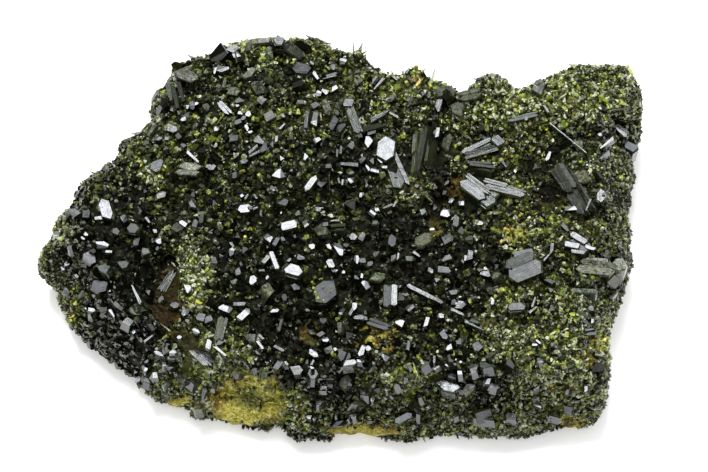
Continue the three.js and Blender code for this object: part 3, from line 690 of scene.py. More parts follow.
# the foot draws in with the walls above it
foot = np.where(v[:, 2] <= 0.36)[0]
edge = foot[(np.linalg.norm(n[foot, :2], axis=1) > 0.3) & (skin_gap(v[foot]) < 0.5)]
push = (-0.95 + 0.45 * noise(v[edge], 2.4, 7))[:, None] * unit(n[edge, :2])
for i in foot:
    d = np.linalg.norm(v[edge, :2] - v[i, :2], axis=1)
    k = int(d.argmin())
    if d[k] < 3.0:
        moved[i, :2] += push[k] * (1 - d[k] / 3.0)
v[foot] += moved[foot]
v[:, 2] = np.maximum(v[:, 2], 0.0)
v[v[:, 2] < 0.3, 2] = 0.0
set_points(rock, v)

ground = remeshed("crust_ground", ["crystal_crust"] + crystal_names, 0.84, 2, lumps)
v, t = arrays(ground)
n = vertex_normals(v, t)
free = outside(v, 0.6)
lift = -1.0 + 0.3 * fractal(v, 1.8, 3, 3) + 0.3 * (0.6 - cells(v, 1.1, 2))
v = v + n * (lift * free)[:, None]
set_points(ground, v)

# the patches of the outside that crystals stand on
keep = shell_v[shell_t].mean(1)[:, 2] > 0.3
spots_n = unit(vertex_normals(shell_v, shell_t)[shell_t].mean(1))[keep]
spots_t = shell_v[shell_t][keep]
spots_a = corners(shell_v, shell_t)[0][keep]
spots_m = spots_t.mean(1)
spots_rock = np.array([rock_tree.find_nearest(Vector(q), 1.2)[0] is not None and rock_tree.find_nearest(Vector(q), 1.2)[3] < 0.35 for q in spots_m])
spots_h = habits(spots_m)
spots_b = exposed(spots_m, spots_n)
# how much painted shade the ground carries at each patch
spots_painted_shade = painted_shade_at(spots_m)
print("open area mm2", round(spots_a.sum()), "rock", round(spots_a[spots_rock].sum()))


def scatter(rng, density, apart=0.0):
    """Points on the open surfaces: density per mm2 for each patch, no two closer than apart."""
    want = density * spots_a
    count = rng.poisson(want)
    idx = np.repeat(np.arange(len(want)), count)
    r1, r2 = np.sqrt(rng.random(len(idx))), rng.random(len(idx))
    tri = spots_t[idx]
    p = tri[:, 0] * (1 - r1)[:, None] + tri[:, 1] * (r1 * (1 - r2))[:, None] + tri[:, 2] * (r1 * r2)[:, None]
    if apart:
        order = rng.permutation(len(idx))
        grid, keep = {}, []
        for i in order:
            q = p[i]
            c = tuple((q // apart).astype(int))
            near = False
            for dx in (-1, 0, 1):
                for dy in (-1, 0, 1):
                    for dz in (-1, 0, 1):
                        for o in grid.get((c[0] + dx, c[1] + dy, c[2] + dz), ()):
                            if ((p[o] - q) ** 2).sum() < apart * apart:
                                near = True
            if not near:
                grid.setdefault(c, []).append(i)
                keep.append(i)
        keep = np.array(sorted(keep), int)
        idx, p = idx[keep], p[keep]
    return idx, p


def lean(rng, n, amount):
    """Normals bent by random angles."""
    r = rng.normal(size=n.shape)
    r -= (r * n).sum(1)[:, None] * n
    r = unit(r)
    a = np.minimum(np.abs(rng.normal(size=len(n))) * amount, 1.05)
    return unit(n * np.cos(a)[:, None] + r * np.sin(a)[:, None])


# ---------------------------------------------------------------- materials
def material(name):
    m = bpy.data.materials.new(name)
    m.use_nodes = True
    nt = m.node_tree
    nt.nodes.clear()
    out = nt.nodes.new("ShaderNodeOutputMaterial")
    p = nt.nodes.new("ShaderNodeBsdfPrincipled")
    nt.links.new(p.outputs[0], out.inputs[0])
    return m, nt, p


class Nodes:
    """Short ways to add nodes."""

    def __init__(self, nt):
        self.nt = nt

    def add(self, kind, **kw):
        n = self.nt.nodes.new(kind)
        for k, v in kw.items():
            setattr(n, k, v)
        return n

    def link(self, a, b):
        self.nt.links.new(a, b)

    def put(self, socket, value):
        if isinstance(value, bpy.types.NodeSocket):
            self.link(value, socket)
        elif value is not None:
            socket.default_value = value

    def math(self, op, a, b=None, clamp=False):
        n = self.add("ShaderNodeMath", operation=op, use_clamp=clamp)
        self.put(n.inputs[0], a)
        if b is not None:
            self.put(n.inputs[1], b)
        return n.outputs[0]

    def mix(self, f, a, b, kind="RGBA"):
        n = self.add("ShaderNodeMix", data_type=kind)
        if kind == "RGBA":
            self.put(n.inputs[0], f)
            self.put(n.inputs[6], a)
            self.put(n.inputs[7], b)
            return n.outputs[2]
        self.put(n.inputs[0], f)
        self.put(n.inputs[2], a)
        self.put(n.inputs[3], b)
        return n.outputs[0]

    def noise(self, vector, scale, detail=3.0, rough=0.55, out=0):
        n = self.add("ShaderNodeTexNoise")
        self.put(n.inputs["Vector"], vector)
        n.inputs["Scale"].default_value = scale
        n.inputs["Detail"].default_value = detail
        n.inputs["Roughness"].default_value = rough
        return n.outputs[out]

    def voronoi(self, vector, scale, feature="F1", out="Distance"):
        n = self.add("ShaderNodeTexVoronoi", feature=feature)
        self.put(n.inputs["Vector"], vector)
        n.inputs["Scale"].default_value = scale
        return n.outputs[out]

    def ramp(self, f, stops, kind="LINEAR"):
        n = self.add("ShaderNodeValToRGB")
        r = n.color_ramp
        r.interpolation = kind
        while len(r.elements) < len(stops):
            r.elements.new(0.5)
        for e, (pos, col) in zip(r.elements, stops):
            e.position = pos
            e.color = (*col, 1) if len(col) == 3 else col
        self.put(n.inputs[0], f)
        return n.outputs[0]

    def range(self, x, a, b, c, d):
        n = self.add("ShaderNodeMapRange")
        self.put(n.inputs[0], x)
        for i, q in zip((1, 2, 3, 4), (a, b, c, d)):
            n.inputs[i].default_value = q
        return n.outputs[0]

    def scale(self, vector, xyz):
        n = self.add("ShaderNodeVectorMath", operation="MULTIPLY")
        self.put(n.inputs[0], vector)
        n.inputs[1].default_value = xyz
        return n.outputs[0]

    def chips(self, pos, scale):
        """Small flat facets, each with its own slope: a height and a random number for each."""
        v = self.add("ShaderNodeTexVoronoi", feature="F1")
        self.link(pos, v.inputs["Vector"])
        v.inputs["Scale"].default_value = scale
        d = self.add("ShaderNodeVectorMath", operation="SUBTRACT")
        self.link(pos, d.inputs[0])
        self.link(v.outputs["Position"], d.inputs[1])
        c = self.add("ShaderNodeVectorMath", operation="SUBTRACT")
        self.link(v.outputs["Color"], c.inputs[0])
        c.inputs[1].default_value = (0.5, 0.5, 0.5)
        h = self.add("ShaderNodeVectorMath", operation="DOT_PRODUCT")
        self.link(self.scale(d.outputs[0], (scale * 2, scale * 2, scale * 2)), h.inputs[0])
        self.link(c.outputs[0], h.inputs[1])
        one = self.add("ShaderNodeSeparateColor")
        self.link(v.outputs["Color"], one.inputs[0])
        return h.outputs["Value"], one.outputs[0]

    def bump(self, height, strength, distance, normal=None):
        n = self.add("ShaderNodeBump")
        n.inputs["Strength"].default_value = strength
        n.inputs["Distance"].default_value = distance
        self.put(n.inputs["Height"], height)
        if normal is not None:
            self.link(normal, n.inputs["Normal"])
        return n.outputs[0]


def crystal_material(name, deep, mid, pale, rough=(0.05, 0.22), through=0.0, stria=0.25, speck=0.15, chip=0.0, chip_size=0.3, shine=0.5, sheen=(1.0, 1.0, 0.84), wave=0.0):
    """Lustrous striated crystal. deep, mid, pale are its colours from the darkest crystal to the lightest.
    chip is the slope of small facets that break up its surface."""
    m, nt, p = material(name)
    N = Nodes(nt)
    pos = N.add("ShaderNodeTexCoord").outputs["Object"]
    grain = N.add("ShaderNodeUVMap", uv_map="grain").outputs[0]
    tint = N.add("ShaderNodeAttribute", attribute_name="tint")
    rgb = N.add("ShaderNodeSeparateColor")
    N.link(tint.outputs["Color"], rgb.inputs[0])
    shade, gloss, third = rgb.outputs[0], rgb.outputs[1], rgb.outputs[2]
    height = tint.outputs["Alpha"]
    cloud = N.noise(pos, 900.0, 4.0, 0.6)
    speckle = N.noise(pos, 4200.0, 2.0, 0.6)
    # lighter towards the tips, where the crystal is thin
    f = N.math("ADD", shade, N.math("MULTIPLY", N.math("SUBTRACT", cloud, 0.5), 0.5))
    f = N.math("ADD", f, N.math("MULTIPLY", N.math("SUBTRACT", speckle, 0.5), 0.7))
    f = N.math("ADD", f, N.math("MULTIPLY", N.math("SUBTRACT", height, 0.7), 0.25))
    fine = N.noise(pos, 5200.0, 3.0, 0.6)
    r = N.math("ADD", N.math("MULTIPLY", gloss, rough[1] - rough[0]), rough[0])
    smear = N.noise(N.scale(grain, (7.0, 0.7, 1.0)), 1.0, 3.0, 0.6)
    b = N.bump(N.noise(N.scale(grain, (9.0, 0.22, 1.0)), 1.0, 2.0, 0.5), stria, 0.00006)
    if wave:
        b = N.bump(N.noise(pos, 750.0, 2.0, 0.6), 1.0, wave, b)
    if chip:
        slope, one = N.chips(pos, 1000.0 / chip_size)
        b = N.bump(slope, 1.0, chip * 0.001 * chip_size, b)
        f = N.math("ADD", f, N.math("MULTIPLY", N.math("SUBTRACT", one, 0.5), 0.5))
        r = N.math("ADD", r, N.math("MULTIPLY", N.math("SUBTRACT", one, 0.5), 0.25))
    b = N.bump(fine, speck, 0.00002, b)
    N.link(b, p.inputs["Normal"])
    f = N.math("ADD", f, 0.0, clamp=True)
    col = N.ramp(f, [(0.0, deep), (0.5, mid), (1.0, pale)])
    # a warmer or cooler green from crystal to crystal
    hue = N.add("ShaderNodeHueSaturation")
    N.link(N.range(third, 0.0, 1.0, 0.475, 0.525), hue.inputs["Hue"])
    N.link(N.range(cloud, 0.3, 0.7, 0.75, 1.15), hue.inputs["Saturation"])
    N.link(col, hue.inputs["Color"])
    N.link(hue.outputs[0], p.inputs["Base Color"])
    r = N.math("ADD", r, N.math("MULTIPLY", N.math("SUBTRACT", fine, 0.45), 0.18))
    r = N.math("ADD", r, N.math("MULTIPLY", N.math("SUBTRACT", smear, 0.5), 0.12), clamp=True)
    r = N.math("MAXIMUM", r, 0.03)
    N.link(r, p.inputs["Roughness"])
    p.inputs["IOR"].default_value = 1.75
    p.inputs["Specular IOR Level"].default_value = shine
    p.inputs["Specular Tint"].default_value = (*sheen, 1.0)
    p.inputs["Transmission Weight"].default_value = through
    return m


def ground_material(name):
    """Dark olive to brown matter between the crystals, made near black as painted shade of the deep gaps, with granular
    ochre where the rock shows; the tint's alpha darkens it further as painted shade in the hollows.
    """
    m, nt, p = material(name)
    N = Nodes(nt)
    pos = N.add("ShaderNodeTexCoord").outputs["Object"]
    tint = N.add("ShaderNodeAttribute", attribute_name="tint")
    rgb = N.add("ShaderNodeSeparateColor")
    N.link(tint.outputs["Color"], rgb.inputs[0])
    bare, brown, green = rgb.outputs[0], rgb.outputs[1], rgb.outputs[2]
    grit = N.noise(pos, 1300.0, 6.0, 0.7)
    patch = N.noise(pos, 300.0, 3.0, 0.55)
    slope, one = N.chips(pos, 2600.0)
    slope2, two = N.chips(pos, 1100.0)
    g = N.math("ADD", N.math("MULTIPLY", grit, 0.75), N.math("MULTIPLY", one, 0.25))
    # the matter between the crystals: its own dark olive, made near black as painted shade deep in the gaps
    dark = N.ramp(g, [(0.25, (0.001, 0.0012, 0.0005)), (0.55, (0.005, 0.006, 0.002)), (0.85, (0.04, 0.044, 0.014))])
    ochre = N.ramp(N.math("ADD", N.math("MULTIPLY", g, 0.7), N.math("MULTIPLY", patch, 0.35)),
                   [(0.28, (0.10, 0.085, 0.010)), (0.42, (0.24, 0.205, 0.022)), (0.54, (0.50, 0.45, 0.065)), (0.70, (0.86, 0.80, 0.30))])
    rust = N.ramp(g, [(0.3, (0.028, 0.011, 0.002)), (0.5, (0.17, 0.075, 0.009)), (0.75, (0.62, 0.34, 0.05))])
    olive = N.ramp(g, [(0.3, (0.09, 0.10, 0.018)), (0.5, (0.21, 0.225, 0.048)), (0.75, (0.42, 0.44, 0.13))])
    c = N.mix(brown, ochre, rust)
    c = N.mix(green, c, olive)
    # the colour scaled down by the tint's alpha: painted shade in the hollows, pits and groove
    dim = N.add("ShaderNodeVectorMath", operation="SCALE")
    N.link(c, dim.inputs[0])
    N.link(tint.outputs["Alpha"], dim.inputs[3])
    c = N.mix(bare, dark, dim.outputs[0])
    N.link(c, p.inputs["Base Color"])
    N.link(N.range(one, 0.0, 1.0, 0.95, 0.4), p.inputs["Roughness"])
    b = N.bump(slope2, 0.8, 0.00025)
    b = N.bump(slope, 1.0, 0.00016, b)
    b = N.bump(grit, 0.5, 0.0003, b)
    N.link(b, p.inputs["Normal"])
    p.inputs["Specular IOR Level"].default_value = 0.18
    p.inputs["IOR"].default_value = 1.5
    return m


GROUND = ground_material("granular rock")
LAVENDER = (0.93, 0.95, 1.0)
DARK = crystal_material("dark lustrous epidote", (0.0007, 0.0008, 0.0002), (0.0026, 0.0030, 0.0007), (0.026, 0.031, 0.007), (0.045, 0.24), sheen=(1.0, 1.0, 0.92))
GREEN = crystal_material("olive green epidote", (0.0009, 0.0012, 0.0002), (0.014, 0.0180, 0.0022), (0.15, 0.19, 0.022), (0.15, 0.42), through=0.1, speck=0.3, chip=0.35, chip_size=0.45)
GRAINS = crystal_material("fine yellow-green epidote", (0.002, 0.0026, 0.0003), (0.056, 0.068, 0.010), (0.42, 0.48, 0.075), (0.14, 0.45), through=0.1, speck=0.4, chip=0.7, chip_size=0.32)
FROST = crystal_material("frosted grey-green epidote", (0.012, 0.015, 0.005), (0.13, 0.15, 0.065), (0.55, 0.59, 0.40), (0.18, 0.55), speck=0.5, chip=0.8, chip_size=0.26)
SAND = crystal_material("ochre grains", (0.04, 0.026, 0.004), (0.24, 0.18, 0.022), (0.78, 0.68, 0.20), (0.3, 0.8), speck=0.5, chip=0.8, chip_size=0.26)
FACE = crystal_material("large dark epidote", (0.004, 0.0045, 0.002), (0.012, 0.014, 0.006), (0.05, 0.058, 0.024), (0.03, 0.15), stria=0.25, speck=0.25, chip=0.018, chip_size=0.7, sheen=LAVENDER, wave=0.00003)
DULL = crystal_material("dull grey-green epidote", (0.006, 0.007, 0.003), (0.032, 0.037, 0.018), (0.15, 0.165, 0.085), (0.16, 0.42), stria=0.6, speck=0.8, chip=0.08, chip_size=0.35, sheen=(0.96, 0.98, 0.96), wave=0.00005)
BLADE = crystal_material("striated olive epidote", (0.006, 0.007, 0.003), (0.020, 0.024, 0.010), (0.085, 0.100, 0.042), (0.05, 0.26), stria=0.9, speck=0.3, sheen=(0.92, 0.94, 1.0), wave=0.00003)


def ground_tint(ob, bare):
    v, _ = arrays(ob)
    seen = bareness(v)
    # the foot of the walls that face away is browner and patchy
    away = np.zeros(len(v)) if bare is None else np.clip(1.4 * (bare - seen), 0, 1)
    bare = seen if bare is None else np.clip(bare - away * (0.25 + 0.5 * noise(v, 2.6, 19)), 0, 1)
    u, w = to_picture(v)
    brown = np.zeros(len(v))
    for row, most in (((164, 298, 20, 46, -6), 0.9), ((385, 430, 16, 12, 0), 0.55), ((345, 436, 30, 6, 0), 0.25), ((454, 186, 20, 14, 0), 0.9), ((437, 180, 14, 55, 0), 0.7),
                      ((310, 333, 16, 10, 0), 0.9), ((571, 422, 14, 9, 0), 0.4), ((629, 226, 9, 10, 0), 0.7), ((550, 193, 14, 14, 0), 0.8), ((236, 347, 8, 8, 0), 1.0),
                      ((246, 352, 8, 14, 0), 0.8), ((228, 372, 14, 9, 0), 0.85), ((217, 402, 7, 10, 0), 0.7), ((174, 398, 12, 6, 20), 0.6), ((588, 361, 13, 7, 0), 0.85), ((553, 390, 5, 6, 0), 0.8), ((574, 390, 5, 6, 0), 0.8)):
        brown = np.maximum(brown, np.clip(1.5 - np.sqrt(lobe(u, w, row)), 0, 1) * most)
    brown = np.maximum(brown, away * (0.5 + 0.6 * noise(v, 4.0, 17)))
    brown = np.clip(brown + 0.25 * noise(v, 5.5, 12), 0, 1)
    green = np.clip(0.1 + 0.7 * noise(v, 7.0, 15), 0, 1)
    for row, most in (((250, 397, 16, 13, 0), 0.95), ((514, 231, 18, 10, 0), 0.8)):
        green = np.maximum(green, np.clip(1.5 - np.sqrt(lobe(u, w, row)), 0, 1) * most)
    # between fine light grains the ground is itself olive; this follows the zones' lightness shift, which partly
    # carries painted light
    fine = np.clip(habits(v)[:, 4] * 1.3 - 0.06, 0, 0.42) * (1 - np.clip(bare * 2, 0, 1))
    green, brown = np.maximum(green, np.clip(fine * 4, 0, 1)), brown * (1 - np.clip(fine * 4, 0, 1))
    bare = np.maximum(bare, fine)
    a = ob.data.attributes.new("tint", "FLOAT_COLOR", "POINT")
    # the alpha is painted shade in the hollows, pits and groove, and it halves the colour at the foot of the walls that
    # face away
    a.data.foreach_set("color", np.stack([bare, brown, green, painted_shade_at(v) * (1 - 0.5 * away)], 1).astype(np.float32).ravel())


ground_tint(rock, np.clip(rock_bare * 1.3, 0, 1))
ground_tint(ground, None)
for ob, node, slot in ((rock, "host_rock", "host_rock"), (ground, "crystal_crust", "crystal_crust")):
    ob.data.materials.clear()
    ob.data.materials.append(GROUND)
    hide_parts(node)
    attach(ob, "root")

# ---------------------------------------------------------------- places of the larger crystals
# middle of the bright face, long axis, face normal, length, width, depth, taper (mm)
CRYSTALS = {
    "bright_prism_left": [
        (-37.86, -0.39, 20.80, 0.317, -0.947, 0.052, -0.037, 0.043, 0.998, 4.23, 2.29, 3.40, 0.32),
    ],
    "grey_prism_left_upper": [
        (-40.40, -7.70, 18.00, 0.800, -0.599, 0.008, -0.124, -0.153, 0.980, 2.85, 2.13, 3.40, 0.30),
    ],
    "grey_prism_left_large": [
        (-38.77, -11.80, 16.40, 0.966, 0.253, 0.062, -0.011, -0.197, 0.980, 3.44, 2.29, 3.40, 0.30),
    ],
    "grey_prism_left_inner": [
        (-33.26, -3.71, 20.80, 0.950, -0.181, 0.254, -0.264, -0.036, 0.964, 2.23, 1.64, 3.40, 0.30),
    ],
    "dull_prism_left_lower": [
        (-32.78, -15.91, 16.40, 0.995, -0.101, 0.022, -0.052, -0.302, 0.952, 2.79, 1.47, 3.40, 0.30),
    ],
    "fibrous_blade_left": [
        (-28.37, -10.60, 15.10, 0.521, 0.853, 0.002, -0.374, 0.226, 0.899, 4.45, 0.98, 1.50, 0.15),
        (-27.79, -10.84, 15.30, 0.427, 0.904, -0.030, -0.204, 0.129, 0.971, 4.17, 0.57, 1.50, 0.15),
    ],
    "ridge_block_top": [
        (-10.59, 30.01, 19.40, 0.998, -0.022, 0.059, -0.053, 0.233, 0.971, 1.97, 1.47, 3.40, 0.18),
        (-8.08, 28.13, 19.50, 0.798, -0.487, -0.355, 0.274, -0.232, 0.933, 4.48, 1.80, 1.53, 0.20),
    ],
    "dull_block_top": [
        (-6.81, 24.86, 19.70, 0.988, -0.109, -0.108, 0.085, -0.197, 0.977, 3.44, 1.96, 3.40, 0.30),
    ],
    "slanted_prism_top_left": [
        (-25.74, 23.28, 20.20, 0.912, -0.408, 0.045, -0.152, -0.234, 0.960, 4.33, 1.80, 1.53, 0.30),
    ],
    "white_blade_top_left": [
        (-19.23, 17.11, 21.00, 0.647, -0.760, 0.058, -0.009, 0.069, 0.998, 3.45, 0.98, 1.50, 0.20),
    ],
    "white_prism_upper_mid": [
        (-5.11, 3.56, 22.10, 0.543, 0.839, -0.039, -0.048, 0.077, 0.996, 3.46, 1.15, 3.40, 0.25),
    ],
    "frosted_prism_upper_left": [
        (-24.88, 6.50, 20.80, 0.994, -0.083, 0.077, -0.090, -0.163, 0.983, 4.61, 1.96, 1.67, 0.25),
    ],
    "slim_prism_top": [
        (0.86, 18.53, 20.00, 0.990, -0.107, 0.093, -0.075, 0.162, 0.984, 1.98, 1.64, 3.40, 0.15),
        (1.92, 15.33, 20.20, 0.324, -0.946, -0.004, 0.318, 0.105, 0.942, 5.18, 1.47, 1.50, 0.10),
    ],
    "broad_white_prism": [
        (7.02, 10.23, 20.40, 0.129, 0.991, -0.035, -0.054, 0.043, 0.998, 4.76, 3.11, 3.40, 0.28),
        (8.37, 7.93, 20.70, 0.322, -0.929, -0.180, 0.215, -0.113, 0.970, 7.28, 2.45, 2.09, 0.10),
    ],
    "upright_needle_sheaf": [
        (11.57, 10.03, 19.40, 0.099, 0.995, 0.008, -0.456, 0.038, 0.889, 7.98, 0.65, 1.50, 0.10),
        (12.64, 10.47, 19.20, 0.170, 0.974, 0.150, -0.372, -0.078, 0.925, 8.00, 0.98, 1.50, 0.10),
        (13.84, 11.40, 17.80, 0.111, 0.991, -0.071, -0.510, 0.118, 0.852, 7.52, 0.65, 1.50, 0.10),
    ],
    "dark_block_notch": [
        (17.00, 21.49, 18.20, 0.988, -0.037, -0.152, 0.154, 0.391, 0.907, 3.30, 2.29, 3.40, 0.20),
    ],
    "blade_stack": [
        (21.85, 11.34, 19.00, 0.889, 0.457, 0.013, -0.037, 0.043, 0.998, 5.62, 0.82, 1.50, 0.08),
        (25.16, 11.97, 19.60, 0.690, -0.711, 0.136, 0.068, 0.251, 0.966, 2.47, 1.64, 3.40, 0.15),
        (22.46, 10.20, 19.20, 0.961, 0.266, 0.075, 0.008, -0.296, 0.955, 6.22, 1.15, 1.50, 0.10),
        (23.16, 11.11, 18.70, 0.938, 0.339, 0.067, -0.024, -0.129, 0.991, 4.92, 1.15, 1.50, 0.10),
    ],
    "striated_blade_fan": [
        (21.30, 4.25, 18.70, 0.749, -0.656, 0.093, 0.007, 0.148, 0.989, 5.70, 2.78, 2.36, 0.16),
        (23.50, 2.20, 18.45, 0.749, -0.656, 0.093, 0.007, 0.148, 0.989, 2.90, 2.60, 2.36, 0.24),
        (26.62, 3.74, 18.80, 0.936, -0.338, 0.093, -0.026, 0.196, 0.980, 7.02, 1.64, 1.50, 0.16),
        (24.80, 4.99, 18.70, 0.961, -0.273, 0.051, -0.028, 0.088, 0.996, 4.30, 0.74, 1.50, 0.10),
        (24.17, 4.23, 18.20, 0.886, -0.460, 0.057, 0.068, 0.251, 0.966, 4.02, 2.78, 2.36, 0.20),
    ],
    "flat_blade_notch": [
        (20.87, 20.27, 19.30, 0.914, 0.024, 0.405, -0.402, -0.089, 0.911, 4.23, 1.64, 1.50, 0.20),
    ],
    "lath_top_right": [
        (29.57, 16.13, 19.80, 0.968, 0.249, -0.032, -0.002, 0.133, 0.991, 5.44, 0.82, 1.50, 0.12),
    ],
    "long_grey_prism_right": [
        (35.55, 5.50, 19.80, 0.460, -0.883, 0.093, -0.264, -0.036, 0.964, 5.40, 2.40, 1.81, 0.12),
        (37.60, 1.50, 19.45, 0.460, -0.883, 0.093, -0.264, -0.036, 0.964, 5.60, 1.95, 1.81, 0.20),
        (38.18, 4.07, 19.50, 0.461, -0.887, 0.006, 0.332, 0.179, 0.926, 8.60, 0.98, 1.50, 0.10),
    ],
    "bright_prism_group": [
        (36.57, -6.02, 19.70, 0.968, -0.242, 0.063, -0.054, 0.043, 0.998, 2.65, 1.15, 1.50, 0.06),
        (37.49, -7.17, 19.60, 0.987, -0.157, 0.026, -0.019, 0.043, 0.999, 2.30, 0.65, 1.50, 0.06),
        (37.76, -4.76, 19.50, 0.817, -0.572, 0.079, -0.054, 0.060, 0.997, 3.23, 0.98, 1.50, 0.10),
        (37.90, -6.01, 19.20, 0.926, -0.376, 0.047, 0.016, 0.163, 0.987, 3.66, 2.45, 2.09, 0.20),
    ],
    "broad_plate_crystal": [
        (28.81, -9.96, 20.60, 0.926, 0.337, 0.167, -0.098, -0.213, 0.972, 6.22, 3.76, 3.20, 0.25),
        (28.72, -7.37, 19.70, 0.964, 0.265, 0.027, -0.054, 0.095, 0.994, 3.61, 0.98, 1.50, 0.10),
    ],
    "bluish_long_prism": [
        (40.71, -9.48, 18.50, 0.989, -0.150, 0.006, -0.052, -0.302, 0.952, 6.56, 2.13, 1.81, 0.12),
        (40.61, -8.18, 18.40, 0.996, -0.060, 0.062, -0.054, 0.130, 0.990, 3.61, 0.74, 1.50, 0.05),
        (44.78, -7.65, 14.70, 0.463, -0.883, 0.082, 0.013, 0.099, 0.995, 2.48, 2.13, 3.40, 0.20),
    ],
    "right_edge_prism": [
        (45.98, 15.44, 15.60, 0.779, -0.623, -0.069, 0.190, 0.130, 0.973, 2.98, 1.31, 1.50, 0.15),
    ],
    "right_edge_block": [
        (48.00, 14.21, 11.70, 0.858, -0.511, -0.044, 0.142, 0.154, 0.978, 2.64, 1.96, 3.40, 0.20),
    ],
    "bright_prism_right": [
        (41.55, 2.35, 19.70, 0.065, 0.997, -0.041, -0.019, 0.043, 0.999, 2.65, 1.31, 3.40, 0.30),
    ],
    "white_prism_centre_left": [
        (-15.60, -0.64, 21.70, 0.994, 0.093, 0.050, -0.054, 0.043, 0.998, 2.62, 1.47, 3.40, 0.25),
    ],
    "white_prism_centre": [
        (-8.48, -3.48, 21.80, 0.968, 0.248, 0.025, -0.037, 0.043, 0.998, 2.79, 1.31, 3.40, 0.10),
    ],
    "white_bar_centre": [
        (-10.82, -9.02, 20.80, 0.348, -0.936, 0.053, -0.037, 0.043, 0.998, 3.52, 0.90, 3.40, 0.08),
    ],
    "white_hexagon_centre": [
        (-7.65, -10.67, 20.50, 0.946, -0.316, 0.076, -0.054, 0.078, 0.996, 3.49, 1.96, 3.40, 0.24),
    ],
    "large_dull_prism_centre": [
        (-2.74, -13.86, 19.80, 0.781, 0.618, 0.088, 0.023, -0.170, 0.985, 4.79, 3.11, 3.40, 0.30),
    ],
    "ridged_block_centre": [
        (7.01, -14.77, 20.30, 0.016, 1.000, -0.016, -0.293, 0.020, 0.956, 4.03, 1.31, 3.40, 0.12),
        (8.14, -14.57, 20.20, 0.016, 0.999, -0.042, -0.019, 0.043, 0.999, 3.72, 1.06, 3.40, 0.08),
    ],
    "long_needle_centre": [
        (13.05, -14.29, 19.60, 0.870, -0.490, 0.050, -0.014, 0.076, 0.997, 6.70, 0.65, 1.50, 0.06),
    ],
    "grey_prism_centre_right": [
        (12.84, -5.21, 19.80, 0.846, 0.472, 0.249, -0.264, -0.036, 0.964, 3.28, 1.96, 3.40, 0.28),
    ],
    "lath_centre_low": [
        (5.77, -19.27, 19.40, 0.927, -0.351, 0.135, -0.187, -0.118, 0.975, 4.05, 1.15, 1.50, 0.15),
    ],
    "kite_prism_low": [
        (0.41, -26.89, 13.50, 0.405, 0.886, 0.226, -0.174, -0.168, 0.970, 2.63, 1.64, 3.40, 0.30),
    ],
    "white_flake_low_right": [
        (16.76, -27.70, 14.05, 0.968, -0.242, 0.063, -0.054, 0.043, 0.998, 4.30, 1.70, 3.40, 0.30),
    ],
    "leaning_prism_low_left": [
        (-23.09, -22.26, 14.90, 0.712, -0.695, 0.101, -0.288, -0.158, 0.944, 7.29, 1.96, 1.67, 0.10),
    ],
    "olive_prism_low_left": [
        (-19.25, -19.32, 17.70, 0.132, 0.991, 0.019, -0.424, 0.039, 0.905, 4.49, 1.64, 1.50, 0.12),
    ],
    "lath_front_right": [
        (9.68, -31.67, 9.00, 0.887, 0.456, 0.070, -0.030, -0.095, 0.995, 3.29, 1.06, 1.50, 0.15),
    ],
    "grey_prism_right_mid": [
        (27.37, -16.62, 20.40, 0.995, 0.069, 0.066, -0.078, 0.179, 0.981, 3.11, 1.47, 1.50, 0.18),
    ],
    "lath_right": [
        (38.31, -13.37, 18.60, 0.997, -0.067, 0.030, -0.010, 0.279, 0.960, 4.42, 0.98, 1.50, 0.10),
    ],
}

# how far off the key light each large face throws its reflection, in degrees
TURNED = {
    "bright_prism_left": (6,), "grey_prism_left_upper": (17,), "grey_prism_left_large": (23,),
    "grey_prism_left_inner": (24,), "dull_prism_left_lower": (30,), "fibrous_blade_left": (30, 36),
    "ridge_block_top": (14, 34), "dull_block_top": (26,), "slanted_prism_top_left": (30,),
    "white_blade_top_left": (7,), "white_prism_upper_mid": (6,), "frosted_prism_upper_left": (30,),
    "slim_prism_top": (13, 30), "broad_white_prism": (6, 13), "upright_needle_sheaf": (54, 50, 58),
    "dark_block_notch": (40,), "blade_stack": (7, 22, 32, 34), "striated_blade_fan": (13, 19, 18, 8, 26),
    "flat_blade_notch": (34,), "lath_top_right": (19,), "long_grey_prism_right": (25, 29, 42),
    "bright_prism_group": (5, 9, 8, 18), "broad_plate_crystal": (20, 21), "bluish_long_prism": (27, 18, 20),
    "right_edge_prism": (30,), "right_edge_block": (24,), "bright_prism_right": (9,),
    "white_prism_centre_left": (3,), "white_prism_centre": (1,), "white_bar_centre": (2,),
    "white_hexagon_centre": (5,), "large_dull_prism_centre": (25,), "ridged_block_centre": (22, 8),
    "long_needle_centre": (9,), "grey_prism_centre_right": (28,), "lath_centre_low": (26,),
    "kite_prism_low": (29,), "white_flake_low_right": (2,), "leaning_prism_low_left": (13,),
    "olive_prism_low_left": (27,), "lath_front_right": (21,), "grey_prism_right_mid": (17,), "lath_right": (29,),
}


def face_towards(c, n, off):
    """The normal tilted so that the face throws the key light off by so many degrees."""
    view = unit(EYE - c)
    light = unit(AIM * (1, 1, 0) + KEY * 700 - c)
    h = unit(view + light)
    side = n - (n @ h) * h
    if np.linalg.norm(side) < 0.02:
        side = np.cross(h, (0.3, 0.9, 0.1))
    side = unit(side)
    a = math.radians(off / 2)
    return h * math.cos(a) + side * math.sin(a)


def frame_of(row, off=None):
    c, a, n = np.array(row[0:3]) + SHIFT, unit(row[3:6]), unit(row[6:9])
    if off is not None:
        n = face_towards(c, n, off)
    b = unit(np.cross(n, a))
    a = np.cross(b, n)
    return c, a, b, n


# the body of the broad white crystal lies under its face
CRYSTALS["broad_white_prism"][1] = (8.6, 6.9, 19.6, *CRYSTALS["broad_white_prism"][1][3:])
FACES = [(*frame_of(row, off), row[9] / 2, row[10] / 2) for name, rows in CRYSTALS.items() for row, off in zip(rows, TURNED[name])]

